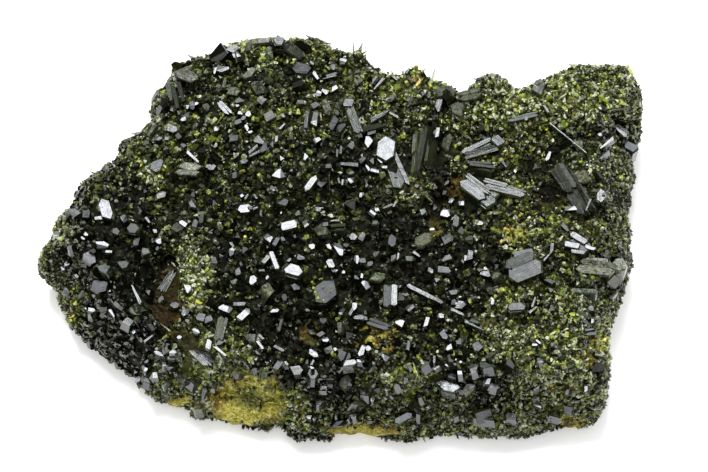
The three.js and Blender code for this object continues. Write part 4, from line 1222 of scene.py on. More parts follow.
# smaller crystals that stand out from the crust: u, v, length, width in the picture, turn in degrees,
# by how their face takes the light
STANDING = {
    "bright": [
        (103, 245.5, 10, 6, 2), (158.5, 242, 5.5, 5.5, 10), (86, 235, 4, 3.5, 0), (83, 239, 4, 1.6, -35), (109, 252.8, 6, 2, 0),
        (67, 264.5, 6, 4, 60), (63, 269, 4, 4, 0), (92, 312.5, 6, 5.5, -10), (112, 314, 9, 1.8, -55), (134.5, 332.5, 5, 3, 40),
        (98.5, 219, 6, 3, 10), (183, 224, 7, 3.5, -35), (253.6, 281.5, 9, 6, 85), (188.5, 290.5, 8, 5, -70), (225, 309, 11, 5, -18),
        (244.5, 315, 12, 6, 42), (196, 332.5, 7, 4, -20), (209, 345.5, 9, 4, 80), (155.5, 232.5, 3, 3, 0), (361, 195.3, 6, 4, 45),
        (372.5, 214.5, 6, 4, -35), (377, 210.5, 3.5, 3, 0), (445, 214.5, 9, 8, 40), (268.5, 239, 7, 5, -35), (329.3, 248.2, 6, 3, -60),
        (340, 250.5, 12, 5.5, -58), (357, 260.5, 8, 4.5, -65), (330.8, 264.5, 9, 5, -62), (354.2, 307, 7, 5, 50), (274.5, 312, 8, 2.6, 3),
        (399.8, 323.3, 7, 5.5, -30), (427, 323, 8, 3, 75), (440.5, 317, 6, 4, 0), (325.6, 340.2, 6, 4.5, -10), (260.5, 346, 9, 2, -50),
        (242, 196.5, 4, 3, 0), (336.5, 272.5, 3, 3, 0), (343.5, 273.5, 3, 2.5, 30), (362, 277, 4, 1.8, 80), (465.5, 258.8, 5, 1.8, 80),
        (485.6, 270.2, 4, 3, -40), (505.7, 271.5, 5.5, 3, 40), (493, 302.3, 6.5, 2.6, 80), (440.2, 317, 5, 4, 0), (448.5, 321, 3, 2.5, 0),
        (592.7, 322.4, 4, 2, 80), (590, 248.7, 9, 2.8, -18), (448.7, 348.7, 5.5, 3.6, 22), (446.8, 366.8, 3.2, 3, 0), (460.8, 362.8, 2.6, 2.4, 0),
        (459.8, 373.5, 3.6, 3.2, 0), (487, 382, 5.2, 4.6, 0), (454.8, 415, 5.6, 4.4, -60), (586, 389, 8, 2.6, 86), (537, 406.3, 8, 2, -24),
        (535, 346, 5, 2, -5), (538.5, 342.7, 5.5, 1.6, -42), (515, 172, 3, 2.2, -50), (571.7, 209.4, 11, 3.6, 3), (599.8, 109, 2.6, 2.4, 0),
        (599.8, 135.8, 3.6, 3, 0), (607, 144.5, 14, 2, 37), (548.6, 157, 10, 2.6, 68), (437.8, 133, 9, 2.8, 80), (481, 223.5, 4.5, 4, 0),
        (461.6, 204.5, 4.5, 4, 0), (425, 93, 4.5, 4, 30), (215, 71.6, 6, 2, 75), (250.4, 71.8, 6.5, 2.2, -40), (186.8, 107, 4.4, 4, -40),
        (196.9, 104.6, 3.6, 2.6, 10), (183, 120.4, 5, 3.6, 10), (248, 114.7, 6, 4.6, -60), (240, 113.7, 3.2, 3, 0), (237.5, 106.5, 3.2, 2.6, -30),
        (247, 128.5, 6.5, 2.6, -62), (250.4, 132.8, 5, 2.2, 12), (216.5, 130.4, 5, 4, 60), (193, 158, 16, 2, -42), (277.8, 176, 10, 8, 20),
        (315.5, 76, 9, 2.6, -55), (344, 62.5, 6, 5, 0), (335, 89.2, 5.5, 4, 30), (325.5, 92.5, 7, 6, 15), (317.4, 142, 7, 6, 5),
        (368, 141.8, 9, 6.5, -55), (306.3, 158, 6.5, 4, 85), (380.8, 160.8, 7, 3.5, -50), (384.4, 168.3, 5, 2, 0), (375, 172, 7, 2.6, -12),
        (368, 169, 6, 2, -65), (350.5, 181.3, 6, 2.8, -45), (159, 354.3, 10, 3, -20), (173, 352.6, 6.5, 3.4, 0), (169.4, 365.7, 10.5, 3.4, -4),
        (173.9, 372.2, 6.5, 4.4, -5), (179.7, 338.3, 4.5, 2.8, 10), (220.9, 352.8, 14, 2.1, -32), (145, 369.8, 7, 4, -60), (154.3, 376.3, 5.4, 5, 0),
        (150.6, 384.8, 3, 3, 0), (313.9, 354.8, 10, 4.6, -35), (335.5, 350.3, 3.4, 3, 0), (362.2, 352, 10, 4, 66), (368.4, 349.6, 5.4, 4.2, -10),
        (350.3, 364.3, 10.5, 6, 8), (359, 362, 3, 2.4, 0), (312, 368.7, 4, 2, -20), (320.6, 402.8, 8, 6, 5), (336.4, 414.3, 6.5, 2.6, 70),
        (354, 417, 6, 5, 20), (348.8, 419.4, 5, 2, 70), (314.9, 420, 4.5, 3.4, 80), (309, 418.5, 4, 3, 0), (398.6, 409, 4.5, 2.6, 80),
        (386.2, 390, 6, 2.6, -65), (427.8, 408.4, 4, 2.4, 40),
    ],
    "pale": [
        (162, 196, 10, 5, 20), (124, 219.5, 8, 7, -20), (51, 262, 4, 3, 0), (128.5, 322.5, 8, 6, -30), (74, 213, 10, 7, -45),
        (56.5, 236, 6, 4, -60), (192, 206, 7, 4, -60), (239, 273, 8, 6, 60), (231.5, 252.5, 9, 4.5, 70), (185.5, 313.5, 8, 6, 80),
        (200, 318, 8, 7, -10), (208, 320, 8, 6, 20), (239.5, 305.5, 13, 3.5, 2), (160, 247, 4, 4, 30), (422.5, 213, 7, 6, -20),
        (283, 240, 5, 3, -60), (354, 237.3, 8, 7, 0), (362, 237.5, 8, 5, 60), (362, 262, 6, 5, 0), (446, 259, 9, 5, 15),
        (444.5, 271.5, 12, 6, -5), (365.5, 285.5, 9, 5, -55), (410.7, 310, 9, 8, 10), (358.5, 318, 9, 4.5, -5), (444, 336.5, 9, 5, -60),
        (262, 272, 5, 2, 0), (250, 209, 5, 3, -20), (333.5, 272.5, 4, 3, 0), (301, 259, 7, 5, -30), (341, 314.5, 4, 3, 0),
        (372.5, 318, 4, 4, 20), (395, 205, 6, 2, 60), (430.5, 272, 6, 4, -30), (447.4, 239.4, 8, 8, 30), (447.4, 258.8, 9, 5, 12),
        (470.3, 255.5, 9, 4.5, 85), (485.6, 275, 9, 8, 20), (454, 293.6, 8, 4.5, 10), (442, 307, 8, 4.2, 88), (435.5, 300, 14, 2.6, -27),
        (461, 305.8, 8, 7.5, -10), (591.4, 309.7, 7, 5, -42), (552.3, 249, 9, 3, 82), (590, 330.4, 10, 1.8, 5), (477, 346.7, 11, 9.5, -10),
        (475, 369, 8.5, 8, 20), (493.5, 387.6, 9, 8, 30), (510.4, 417, 9.5, 7, -8), (484, 419.6, 19, 3.6, -7), (552.5, 346, 4, 4, 0),
        (566.6, 391.6, 8, 6, 70), (588.6, 206, 12, 1.7, 70), (565, 227.5, 10, 3, -50), (526, 119.5, 4, 3.4, 20), (604.5, 156.5, 12, 1.7, 42),
        (620, 132, 17, 2.6, -42), (451.7, 201.7, 5.5, 5, 0), (456.8, 222, 12, 5, 82), (438.5, 106.5, 12, 6, 72), (233.2, 49.6, 9, 7, 35),
        (223, 70, 12, 6.5, -12), (261.5, 100.8, 8.5, 7, -40), (192, 106.5, 8, 4.2, -75), (238, 122.8, 7, 4, 20), (243.3, 119, 6, 3.4, 35),
        (269.6, 116.6, 9, 7.5, 30), (283, 116.6, 5, 4, 0), (173, 129.5, 10, 7, -20), (158.6, 139.5, 7, 4.6, -15), (259, 142.9, 10, 7, -50),
        (253.3, 150.5, 11, 4, 38), (211.2, 167.8, 10, 6, 0), (157.2, 166.8, 14, 10, 20), (234.2, 156.8, 5, 4, 60), (333, 68, 7, 5.5, -30),
        (318.5, 94, 7, 6, 15), (374.5, 81, 9, 5, 48), (349.3, 164.8, 17, 3, -4), (366.5, 186.3, 5, 2, 86), (343, 183, 6, 1.8, 80),
        (339.5, 182.5, 6, 1.8, -70), (315, 120, 13, 5, 84), (407, 122, 4, 3, 0), (332, 75, 12, 2, 15), (150, 338, 14, 1.6, 35),
        (171.8, 359, 7, 2.6, -5), (219.7, 343.6, 5, 4, 50), (279.6, 349.7, 11, 2.5, -33), (146.5, 361.8, 4, 3, 60), (143.3, 358.5, 8, 2, 70),
        (138.5, 381, 8, 5, 80), (279, 365.5, 9, 5, 55), (297.5, 371, 10, 9, 5), (291, 380.8, 7, 6, 20), (214.3, 385.5, 9, 3, 72),
        (384.2, 358.8, 8, 6, -20), (313, 374.8, 12, 8, -65), (365, 393, 9.5, 7.5, 0), (363.3, 407, 11, 2.8, 32), (323, 388.5, 6, 1.7, 0),
        (323, 391.5, 6, 1.5, 0), (408.6, 345.8, 9, 2.6, 84), (413.4, 403.7, 8.5, 7, 70), (396.8, 385.5, 5, 4, 0), (374.2, 386.4, 4, 3, 60),
        (426.5, 389, 4, 3, 0), (400, 398, 6, 3, 70), (418, 414, 6, 4, -20),
    ],
    "grey": [
        (125, 266, 10, 8, 10), (136, 242, 11, 5, 75), (145, 252, 8, 8, -60), (158, 249, 4, 4, 0), (103.5, 269, 12, 8, -20),
        (67.5, 292, 7, 7, 0), (82, 296.5, 10, 7, 55), (86.5, 214.5, 10, 9, 30), (201.5, 219, 14, 4, 82), (195.8, 224.5, 9, 5, 70),
        (214, 262, 10, 6, -65), (174.5, 306.5, 10, 6, 10), (220, 313, 6, 4, 0), (185, 344.5, 10, 9, -20), (70, 247, 5, 4, 0),
        (321, 185.5, 9, 7, -5), (276, 242.5, 11, 8, 20), (392.5, 241.5, 14, 8, 80), (393, 260, 8, 5, 85), (410.5, 259.5, 10, 5, -5),
        (295.5, 288, 9, 6, -30), (402, 297.5, 9, 7, 80), (281, 325.5, 13, 2.6, 78), (323.5, 321.5, 8, 6, -50), (284, 203, 9, 7, 40),
        (449, 238.5, 9, 8, 20), (234.5, 283.5, 7, 5, 20), (306, 225, 7, 5, -60), (298, 214, 6, 5, 20), (376, 256, 7, 5, 60),
        (325, 226, 6, 4, 10), (376, 224, 6, 5, 0), (470.3, 239.5, 8, 7, 60), (455, 303.5, 6, 5.5, 0), (551.9, 308.3, 6, 4, -70),
        (549.3, 281.8, 11, 4, -20), (620, 272, 12, 4, 24), (475.5, 321.5, 9, 7, -20), (590.7, 333.8, 10, 4, 5), (459.5, 342.7, 6.5, 6.5, 0),
        (486.3, 367.5, 13, 8, -22), (451.4, 376, 9, 7, -15), (485, 397, 7, 5, 75), (539.8, 362, 7, 5, -30), (555.2, 416.4, 12, 9, 20),
        (568.6, 410.4, 8, 6, -10), (604, 195, 4, 3, 0), (236, 55.5, 8, 7, -55), (222.7, 52.5, 6, 4.5, -20), (239.9, 101.3, 10, 5.5, 10),
        (205.5, 107.5, 9, 7, 80), (234.2, 138.6, 8, 6.5, 0), (263.8, 149, 13, 6, 58), (183.5, 146.2, 6, 4, -40), (243.8, 162, 8, 6, 0),
        (235.1, 176.4, 10, 6, 28), (165, 150, 6, 4, 20), (315, 105.5, 9, 5, 30), (391.4, 98.8, 8, 6.5, 30), (350.3, 147, 8, 7, 10),
        (338, 154.3, 9, 2, 84), (341, 151.5, 9, 2, 84), (337, 114, 8, 4, -70), (333, 124, 15, 6, 58), (372, 133, 9, 3, 20),
        (341, 128, 13, 6, 50), (300, 104, 7, 5, 0), (328, 167, 6, 4, 0), (362, 160, 7, 4, 40), (149, 378.5, 13, 8, 68),
        (168, 384.2, 12, 2.6, 42), (125.8, 364, 5, 4, -60), (238, 377, 10, 5, -4), (204, 394, 13, 4.5, 84), (195, 382, 10, 8, 20),
        (329.2, 350.3, 8, 6, 20), (342, 356.5, 10, 7, 70), (339, 424, 15, 5, 14), (428.7, 358.7, 5.5, 4.5, 60), (426.4, 365.4, 13, 3.4, 40),
        (405.3, 380.7, 8, 6, 40), (377.5, 391, 6, 4, 0), (411, 369, 8, 5, 80), (420, 397, 6, 5, 20),
    ],
    "dull": [
        (139, 309, 14, 8, -20), (179, 228, 11, 9, -30), (267.5, 290.5, 12, 9, -55), (378.5, 277, 13, 10, 45), (339.5, 328, 12, 9, 60),
        (322.5, 231.5, 15, 11, -50), (496.3, 277.5, 9, 7, 60), (491, 291, 8, 7, 0), (525.8, 295, 10, 2.2, -75), (611, 279.5, 11, 8, 20),
        (614, 295.6, 13, 2, 50), (490.3, 356.5, 9, 4.5, 38), (469, 389, 14, 8, 48), (578.7, 144.2, 12, 9, -40), (583.5, 177, 16, 13, -12),
        (539.5, 87, 18, 11, 62), (457.5, 108.5, 15, 12, -25), (446.8, 143, 19, 8, 80), (248, 48, 12, 5.5, 82), (269, 53.5, 15, 6.5, -82),
        (260, 41.5, 20, 6, 4), (224.7, 84.5, 13, 3, 84), (234.7, 91.7, 11, 8, -10), (249.5, 74, 16, 11, 15), (258.6, 87.5, 15, 11, -60),
        (153, 131, 16, 4, 60), (326, 107.5, 19, 8, -73), (339, 104, 11, 6, 75), (359, 82.5, 10, 8, 80), (250.6, 339.5, 11, 9, 0),
        (183, 378, 16, 7, 80), (198.5, 409.5, 11, 6, 10),
    ],
    "dark": [
        (510.4, 367.5, 15, 8, 75), (597.4, 369, 12, 10, 60), (177, 66, 12, 8, -20), (240, 57, 13, 10, 30), (219, 56, 21, 16, 52), (303, 47, 18, 9, -28), (278, 52, 22, 9, -38), (297, 84, 12, 10, 20),
        (255, 62, 12, 8, 60), (447, 96, 13, 10, -40), (164, 104, 14, 8, 70),
    ],
    "needle": [
        (136, 295, 21, 2, -63), (77, 277, 4, 2, -50), (232, 246, 5, 1.8, -60), (148, 221, 6, 2, -55), (398.5, 257, 7, 1.8, 85),
        (417.3, 255.3, 8, 1.8, -38), (351.5, 312.5, 7, 2.5, 60), (335, 222, 9, 1.6, 6), (265.5, 260.5, 9, 3.5, 55), (246.5, 198, 6, 1.8, 55),
        (255, 209, 6, 1.6, 20), (256, 197.5, 5, 1.6, -60), (289, 261, 4, 2, 40), (388, 207, 9, 1.6, 25), (438, 281.5, 4, 4, 0),
        (457.5, 313, 14, 2.2, -28), (533.8, 303.7, 10, 1.8, 68), (533, 311, 9, 1.6, 40), (547, 258, 10, 1.5, 52), (474.9, 327, 19, 1.7, -22),
        (611, 298.5, 2.6, 2.4, 0), (492.6, 421.5, 5, 2.2, 80), (598.7, 355.4, 6, 2, 0), (537, 389.6, 7, 2, 38), (535.5, 399, 7, 2, 22),
        (546, 110, 9, 1.8, -58), (568, 139, 42, 0.9, -38), (504, 165, 7, 1.6, -55), (255.2, 154.4, 13, 1.8, 30), (282, 127.6, 8, 1.8, 48),
        (276.8, 140, 7, 2, 82), (215.5, 147.2, 5, 2.2, 60), (194.5, 142.4, 6, 1.6, 32), (167, 139, 4, 3, 0), (379.5, 84, 15, 2, 50),
        (382, 115, 14, 1.6, 32), (394, 116, 9, 1.8, -30), (408, 72, 6, 1.6, 60), (395, 79, 6, 2, -40), (312, 64, 5, 1.8, -40),
        (330, 78, 12, 1.5, 17), (299, 78, 3, 1.8, -30), (261, 337.5, 6, 1.8, -45), (286.5, 364.3, 5, 2, -55), (312.5, 364, 5, 1.8, 60),
        (349, 384, 7, 3, -60), (434.6, 360.6, 7, 1.6, 88), (372.8, 400.8, 5, 3, 60), (432, 383, 4, 2, -50), (391, 397, 6, 2, -50),
        (437, 369, 6, 1.6, 30),
    ],
    "lath": [
        (336.5, 226, 16, 3, 5), (338, 230.5, 15, 3, -4), (483, 412, 17, 3.6, 16), (479, 163, 24, 2.6, -3), (482, 166.5, 26, 2.6, -6),
        (480, 170.5, 24, 2.4, -10), (170, 93, 22, 4, -72), (175, 97, 24, 4, -76), (181, 92, 20, 4, -70), (380, 117, 22, 5, 27),
        (307.5, 120, 21, 4, 86), (372.5, 128, 22, 5, 12), (414.5, 145, 22, 3, 84), (426, 150, 30, 3, 80), (428, 150, 34, 2, 78),
        (348.5, 391, 12, 2.6, -52), (357.4, 403.8, 13, 5, 0),
    ],
    "fleck": [
        (313, 283, 2.6, 2.2, 10), (313.5, 288.5, 2.4, 2.2, 40), (315.5, 293.5, 2.8, 2.2, 70), (318.5, 298.5, 2.6, 2.4, 20), (323, 301, 2.6, 2.0, 50),
        (315, 277.5, 2.6, 2.2, 30), (319.5, 272, 2.6, 2.2, 60), (325.5, 267.5, 2.4, 2.0, 20), (314, 303.5, 4.5, 3.4, 10), (317, 285, 1.8, 1.6, 0),
        (321, 279, 1.8, 1.6, 40), (323, 288, 1.8, 1.5, 20), (330.5, 292.5, 1.8, 1.5, 0), (337, 289, 1.8, 1.5, 0),
        (597.7, 169.4, 4, 3, 0), (395, 76, 3.5, 3, 20), (402, 78, 3.5, 3, 50), (392.5, 82, 3, 2.6, 0), (407, 83, 3, 2.6, 30),
        (416, 68, 3.4, 3, 10), (422, 72, 3.4, 3, 40), (417, 77, 3.2, 2.8, 70), (414, 73, 3, 2.6, 0), (386, 313, 3.5, 3, 30),
        (333.5, 354.5, 4, 3.4, 20), (245, 238, 3, 2.6, 0), (260, 176, 3.4, 3, 30), (470, 302, 3.6, 3, 60), (292, 146, 3.2, 2.8, 0),
    ],
}

PER_MM = PIXELS / FAR
OFF = {"bright": (1, 6), "pale": (10, 19), "grey": (21, 31), "dull": (28, 42), "dark": (38, 52), "needle": (2, 12), "lath": (28, 48), "fleck": (15, 60)}


def standing(kind):
    """Frames of the crystals of one kind: middle, long axis, across, outward, half length, half width, depth."""
    rng = np.random.default_rng(sum(map(ord, kind)))
    out = []
    for u, v, length, width, turn in STANDING[kind]:
        c = on_surface(u, v)
        if c is None:
            continue
        w = math.radians(turn)
        n = face_towards(c, unit(rng.normal(size=3)), rng.uniform(*OFF[kind]))
        a = RIGHT * math.cos(w) + UP * math.sin(w)
        a = unit(a - BACK * ((a @ n) / (BACK @ n)))
        b = np.cross(n, a)
        grown = {"bright": 1.18, "pale": 1.08, "needle": 1.15}.get(kind, 1.0)
        half = grown * length / 2 / PER_MM
        wide = grown * width / 2 / PER_MM
        out.append((c + n * rng.uniform(0.35, 0.6), a, b, n, half, wide, rng.uniform(2.0, 2.8) if width > 3 else rng.uniform(1.3, 1.7)))
    return out


PLACED = {kind: standing(kind) for kind in STANDING}
FACES += [f[:6] for fs in PLACED.values() for f in fs]
# nothing stands between the white flake on the steep front and its light
c, a, b, n = frame_of(CRYSTALS["white_flake_low_right"][0])
FACES += [(c + KEY * k, a, b, n, 2.2, 1.0) for k in (1.5, 3.0)]


def covers(points, room):
    """True for points that would stand over a large crystal's face. room is the half width round each point."""
    out = np.zeros(len(points), bool)
    for c, a, b, n, half, wide in FACES:
        d = points - c
        x, y, z = np.abs(d @ a), np.abs(d @ b), d @ n
        out |= (x < half + 0.45 * room) & (y < wide + 0.45 * room) & (z > -0.5) & (z < 6)
    return out


# ---------------------------------------------------------------- the druse
total = 0


def druse(name, seed, shapes, density, apart, width, tall, tilt, rise, mat, shade, gloss):
    """One habit of small crystals over the open surfaces."""
    global total
    rng = np.random.default_rng(seed)
    idx, p = scatter(rng, density, apart)
    m = len(idx)
    n = spots_n[idx]
    flat_top = np.clip((n[:, 2] - 0.35) / 0.5, 0, 1)
    a = lean(rng, unit(n * 0.75 + np.array([0, 0, 0.25])), tilt * (0.45 + 0.55 * flat_top))
    a = unit(a + n * np.clip(0.5 - (a * n).sum(1), 0, 1)[:, None])
    w = width[0] * np.exp(rng.normal(size=m) * width[1])
    w = np.clip(w, width[0] * 0.45, width[0] * 1.65) * spots_h[idx, 5] * (0.8 + 0.2 * flat_top)
    h = w * rng.uniform(*tall, size=m)
    h = np.maximum(h, 1.5)
    # tips lie a little under or over the outside, roots reach the ground
    under = rise[0] + rise[1] * rng.random(m)
    tip = p + n * under[:, None] - a * (0.12 * w)[:, None]
    h = np.minimum(np.maximum(h, (under + 1.35) / np.maximum((a * n).sum(1), 0.5)), 5.0)
    # on the walls and edges nothing stands proud of the outside
    side_x = unit(np.cross(a, n + np.array([0.01, 0.02, 0.03])))
    side_y = np.cross(a, side_x)
    for i in range(m):
        most = 0.4 * max(0.0, n[i, 2]) ** 3 + 0.12
        if name == "slender_laths":
            most -= 0.25 * (1 - max(0.0, n[i, 2]))
        r = 0.42 * w[i]
        worst, push = 0.0, None
        for q in (tip[i] + side_x[i] * r, tip[i] - side_x[i] * r, tip[i] + side_y[i] * r, tip[i] - side_y[i] * r):
            hit = skin.find_nearest(Vector(q))
            out_by = (q - np.array(hit[0])) @ np.array(hit[1]) - most
            if out_by > worst:
                worst, push = out_by, np.array(hit[1])
        if worst:
            tip[i] -= push * worst
    # nothing reaches below the table or lies over a large crystal
    over = np.zeros(m, bool)
    for part in (0.0, 0.12, 0.24, 0.38, 0.52, 0.66, 0.8):
        over |= covers(tip - a * (part * h)[:, None], 0.45 * w)
    ok = ~over & (np.minimum(tip[:, 2], tip[:, 2] - a[:, 2] * h * shapes[0].root) - 0.5 * w * np.sqrt(1 - a[:, 2] ** 2) > 0.05)
    idx, p, n, a, w, h, tip = idx[ok], p[ok], n[ok], a[ok], w[ok], h[ok], tip[ok]
    m = len(idx)
    size = np.stack([w / 2, w / 2, h / 3.0], 1)
    # the zone's lightness shift: partly the crystals' own tone, partly painted light and painted shade
    light = spots_h[idx, 4]
    lit = (shade[0] + shade[1] * rng.beta(0.9, 2.6, m)) * (1 + 3.2 * np.maximum(light, 0)) + np.minimum(light, 0)
    tint = np.stack([np.clip(lit, 0, 1), np.clip(rng.beta(1.2, 2.4, m) * gloss, 0, 1), rng.random(m)], 1)
    which = rng.integers(0, len(shapes), m)
    twist = rng.uniform(0, 6.28, m)
    # most of the ends that would flash at the viewer are turned away; the listed crystals do that
    calm = rng.random(m) < 0.75
    wide = np.cos(np.radians(np.where(light < -0.15, 13.0, 5.5)))
    for _ in range(6):
        again = calm & (glare(shapes, which, tip, a, twist, size) > wide)
        twist[again] = rng.uniform(0, 6.28, again.sum())
        which[again] = rng.integers(0, len(shapes), again.sum())
    ob, tris = grow(name, shapes, which, tip, a, twist, size, tint)
    ob.data.materials.append(mat)
    on = "host_rock" if name == "rock_grains" else "crystal_crust"
    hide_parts(on)
    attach(ob, "root")
    total += tris
    print(name, m, "crystals", tris, "triangles")
    return ob


rng = np.random.default_rng(5)
PRISMS = shape_set(rng, 18, flat=(0.5, 0.95))
STEEP = shape_set(rng, 18, flat=(0.55, 0.95), ends=("ridge", "point", "ridge", "point"))
SPURS = shape_set(rng, 18, flat=(0.55, 0.95), ends=("ridge", "point", "ridge", "point"), deep=4.8, root=1.6)
STUBS = shape_set(rng, 14, flat=(0.6, 1.0), ends=("chip", "roof", "chip"), sides=(5, 5, 6), deep=4.8, root=1.6)
GRITS = shape_set(rng, 14, flat=(0.65, 1.0), ends=("chip",), sides=(4, 5, 5), deep=4.8, root=1.6)
LATHS = shape_set(rng, 8, flat=(0.3, 0.5), ends=("oblique", "roof"), sides=(6,), deep=3.9, root=1.3)

cover = 1 - spots_b
thin = np.where(spots_rock, 0.8, 1.0)
P, G, F, W, _, _ = spots_h.T
clear = np.clip(1.15 - 0.55 * P, 0.3, 1)
druse("dark_prisms", 101, STEEP, 1.4 * P * cover ** 1.5 * thin, 0.95, (1.8, 0.3), (0.9, 1.5), 0.32, (-0.8, 0.75), DARK, (0.0, 0.7), 0.9)
druse("green_prisms", 102, PRISMS, 1.15 * G * cover ** 1.3 * thin, 0.6, (1.3, 0.3), (1.0, 1.6), 0.75, (-0.8, 0.8), GREEN, (0.05, 0.9), 1.0)
druse("fill_dark", 109, SPURS, 1.1 * P * cover * thin, 0.35, (0.9, 0.35), (1.0, 1.6), 0.32, (-1.25, 0.6), DARK, (0.0, 0.8), 1.0)
druse("fill_crystals", 103, STUBS, 1.35 * (0.1 * P + 0.7 * G + 0.2 * F) * cover * thin, 0.35, (0.85, 0.3), (1.0, 1.6), 0.8, (-1.15, 0.6), GREEN, (0.0, 0.8), 1.0)
druse("fine_grains", 104, GRITS, 1.8 * F * clear * (0.3 + 0.7 * cover) * thin, 0.3, (1.0, 0.3), (0.9, 1.4), 0.8, (-0.95, 0.85), GRAINS, (0.02, 0.98), 1.0)
druse("small_grains", 107, GRITS, 2.35 * (F + 0.35 * G) * clear * (0.3 + 0.7 * cover) * thin, 0.3, (0.62, 0.3), (1.0, 1.7), 0.8, (-0.95, 0.9), GRAINS, (0.0, 0.98), 1.0)
druse("frosted_grains", 105, GRITS, 2.6 * W * cover * thin, 0.3, (0.78, 0.3), (0.9, 1.4), 0.8, (-0.8, 0.8), FROST, (0.05, 0.95), 1.0)
druse("slender_laths", 106, LATHS, 0.15 * (0.4 * P + G + 0.5 * F + W) * cover * thin, 0.6, (0.9, 0.3), (2.5, 4.0), 0.9, (-0.9, 0.6), BLADE, (0.1, 0.7), 0.8)
# no ochre grains where the ground carries painted shade
druse("rock_grains", 108, GRITS, 2.6 * np.clip(spots_b * 1.5 - 0.1, 0, 1) * np.clip(spots_painted_shade * 1.6 - 0.6, 0, 1), 0.25, (0.62, 0.4), (0.8, 1.2), 0.8, (-1.1, 0.75), SAND, (0.0, 0.9), 1.0)
print("druse triangles", total, "rock", len(rock.data.polygons) * 2, "ground", len(ground.data.polygons) * 2)

# ---------------------------------------------------------------- the larger crystals
# how a crystal is split lengthwise into parallel blades: shares of its width from one side to the other
BUNDLES = {
    "fibrous_blade_left": ((0.4, 0.35, 0.25), (0.5, 0.5)), "upright_needle_sheaf": ((1,), (0.6, 0.4), (1,)),
    "blade_stack": ((1,), (1,), (0.5, 0.5), (0.6, 0.4)), "striated_blade_fan": ((0.64, 0.13, 0.11, 0.12), (1,), (0.8, 0.2), (0.55, 0.45), (1,)),
    "long_grey_prism_right": ((0.16, 0.5, 0.34), (0.7, 0.3), (0.6, 0.4)), "bluish_long_prism": ((0.6, 0.4), (1,), (1,)),
    "lath_top_right": ((0.6, 0.4),), "leaning_prism_low_left": ((0.4, 0.2, 0.4),), "olive_prism_low_left": ((0.35, 0.65),),
    "lath_centre_low": ((0.55, 0.45),), "broad_plate_crystal": ((0.6, 0.4), (0.5, 0.5)), "flat_blade_notch": ((0.6, 0.4),), "frosted_prism_upper_left": ((0.45, 0.55),),
    "white_blade_top_left": ((0.55, 0.45),), "slim_prism_top": ((1,), (0.7, 0.3)), "broad_white_prism": ((1,), (0.75, 0.25)),
}


def blade_planes(half, w, depth, taper, rng, bevel):
    """Cutting planes of one blade in its own frame: x along it, y across, z out of its face."""
    t = taper * half * 2
    outline = [(half, w * 0.25), (half - t, w), (-half + t * 0.7, w), (-half, -w * 0.15), (-half + t * 0.9, -w), (half - t * 0.75, -w)]
    planes = [(np.array([0, 0, 1.0]), 0.0), (np.array([0, 0, -1.0]), depth)]
    k = len(outline)
    for i in range(k):
        a, b = np.array(outline[i]), np.array(outline[(i + 1) % k])
        e = b - a
        if np.linalg.norm(e) < 0.02 * half:
            continue
        n = unit([-e[1], e[0]])
        n = n if n @ (a + b) > 0 else -n
        d = n @ a
        slope = 0.12 * w * 2 / depth
        planes.append((np.array([n[0], n[1], slope * 0.4]), d / math.sqrt(1 + (slope * 0.4) ** 2)))
        if rng.random() < 0.85:
            cut = bevel * rng.uniform(0.4, 1.5)
            up = math.tan(math.radians(rng.uniform(35, 58)))
            m = np.array([n[0], n[1], up])
            planes.append((m, (d - cut) / np.linalg.norm(m)))
    return planes


def facet_planes(half, w, depth, rng):
    """Cutting planes of a small crystal that shows one angular face: four to six straight sides."""
    sides = [(90 + rng.normal(0, 3.5), 0.0, w), (270 + rng.normal(0, 3.5), 0.0, -w)]
    for end in (1, -1):
        x = end * half
        if rng.random() < (0.6 if half > 2.5 * w else 0.35):  # cut off straight or at a slant
            sides.append(((0 if end > 0 else 180) + rng.normal(0, 15), x, 0.0))
        else:  # two planes that meet in a corner
            y = rng.uniform(-0.55, 0.55) * w
            for k in (1, -1):
                sides.append(((0 if end > 0 else 180) + k * rng.uniform(24, 58), x, y))
    planes = [(np.array([0, 0, 1.0]), 0.0), (np.array([0, 0, -1.0]), depth)]
    if w > 0.34 and rng.random() < 0.6:
        t, a = rng.uniform(0, 2 * math.pi), math.radians(rng.uniform(6, 15))
        x, y = rng.uniform(-0.1, 0.55) * half * math.cos(t), rng.uniform(-0.1, 0.55) * w * math.sin(t)
        m = np.array([math.sin(a) * math.cos(t), math.sin(a) * math.sin(t), math.cos(a)])
        planes.append((m, m[0] * x + m[1] * y))
    for turn, x, y in sides:
        t = math.radians(turn)
        d = x * math.cos(t) + y * math.sin(t)
        m = np.array([math.cos(t), math.sin(t), rng.uniform(-0.02, 0.10)])
        planes.append((m, d / np.linalg.norm(m)))
        if rng.random() < 0.35:
            m = np.array([math.cos(t), math.sin(t), math.tan(math.radians(rng.uniform(30, 60)))])
            planes.append((m, d * rng.uniform(0.82, 0.93) / np.linalg.norm(m)))
    return planes


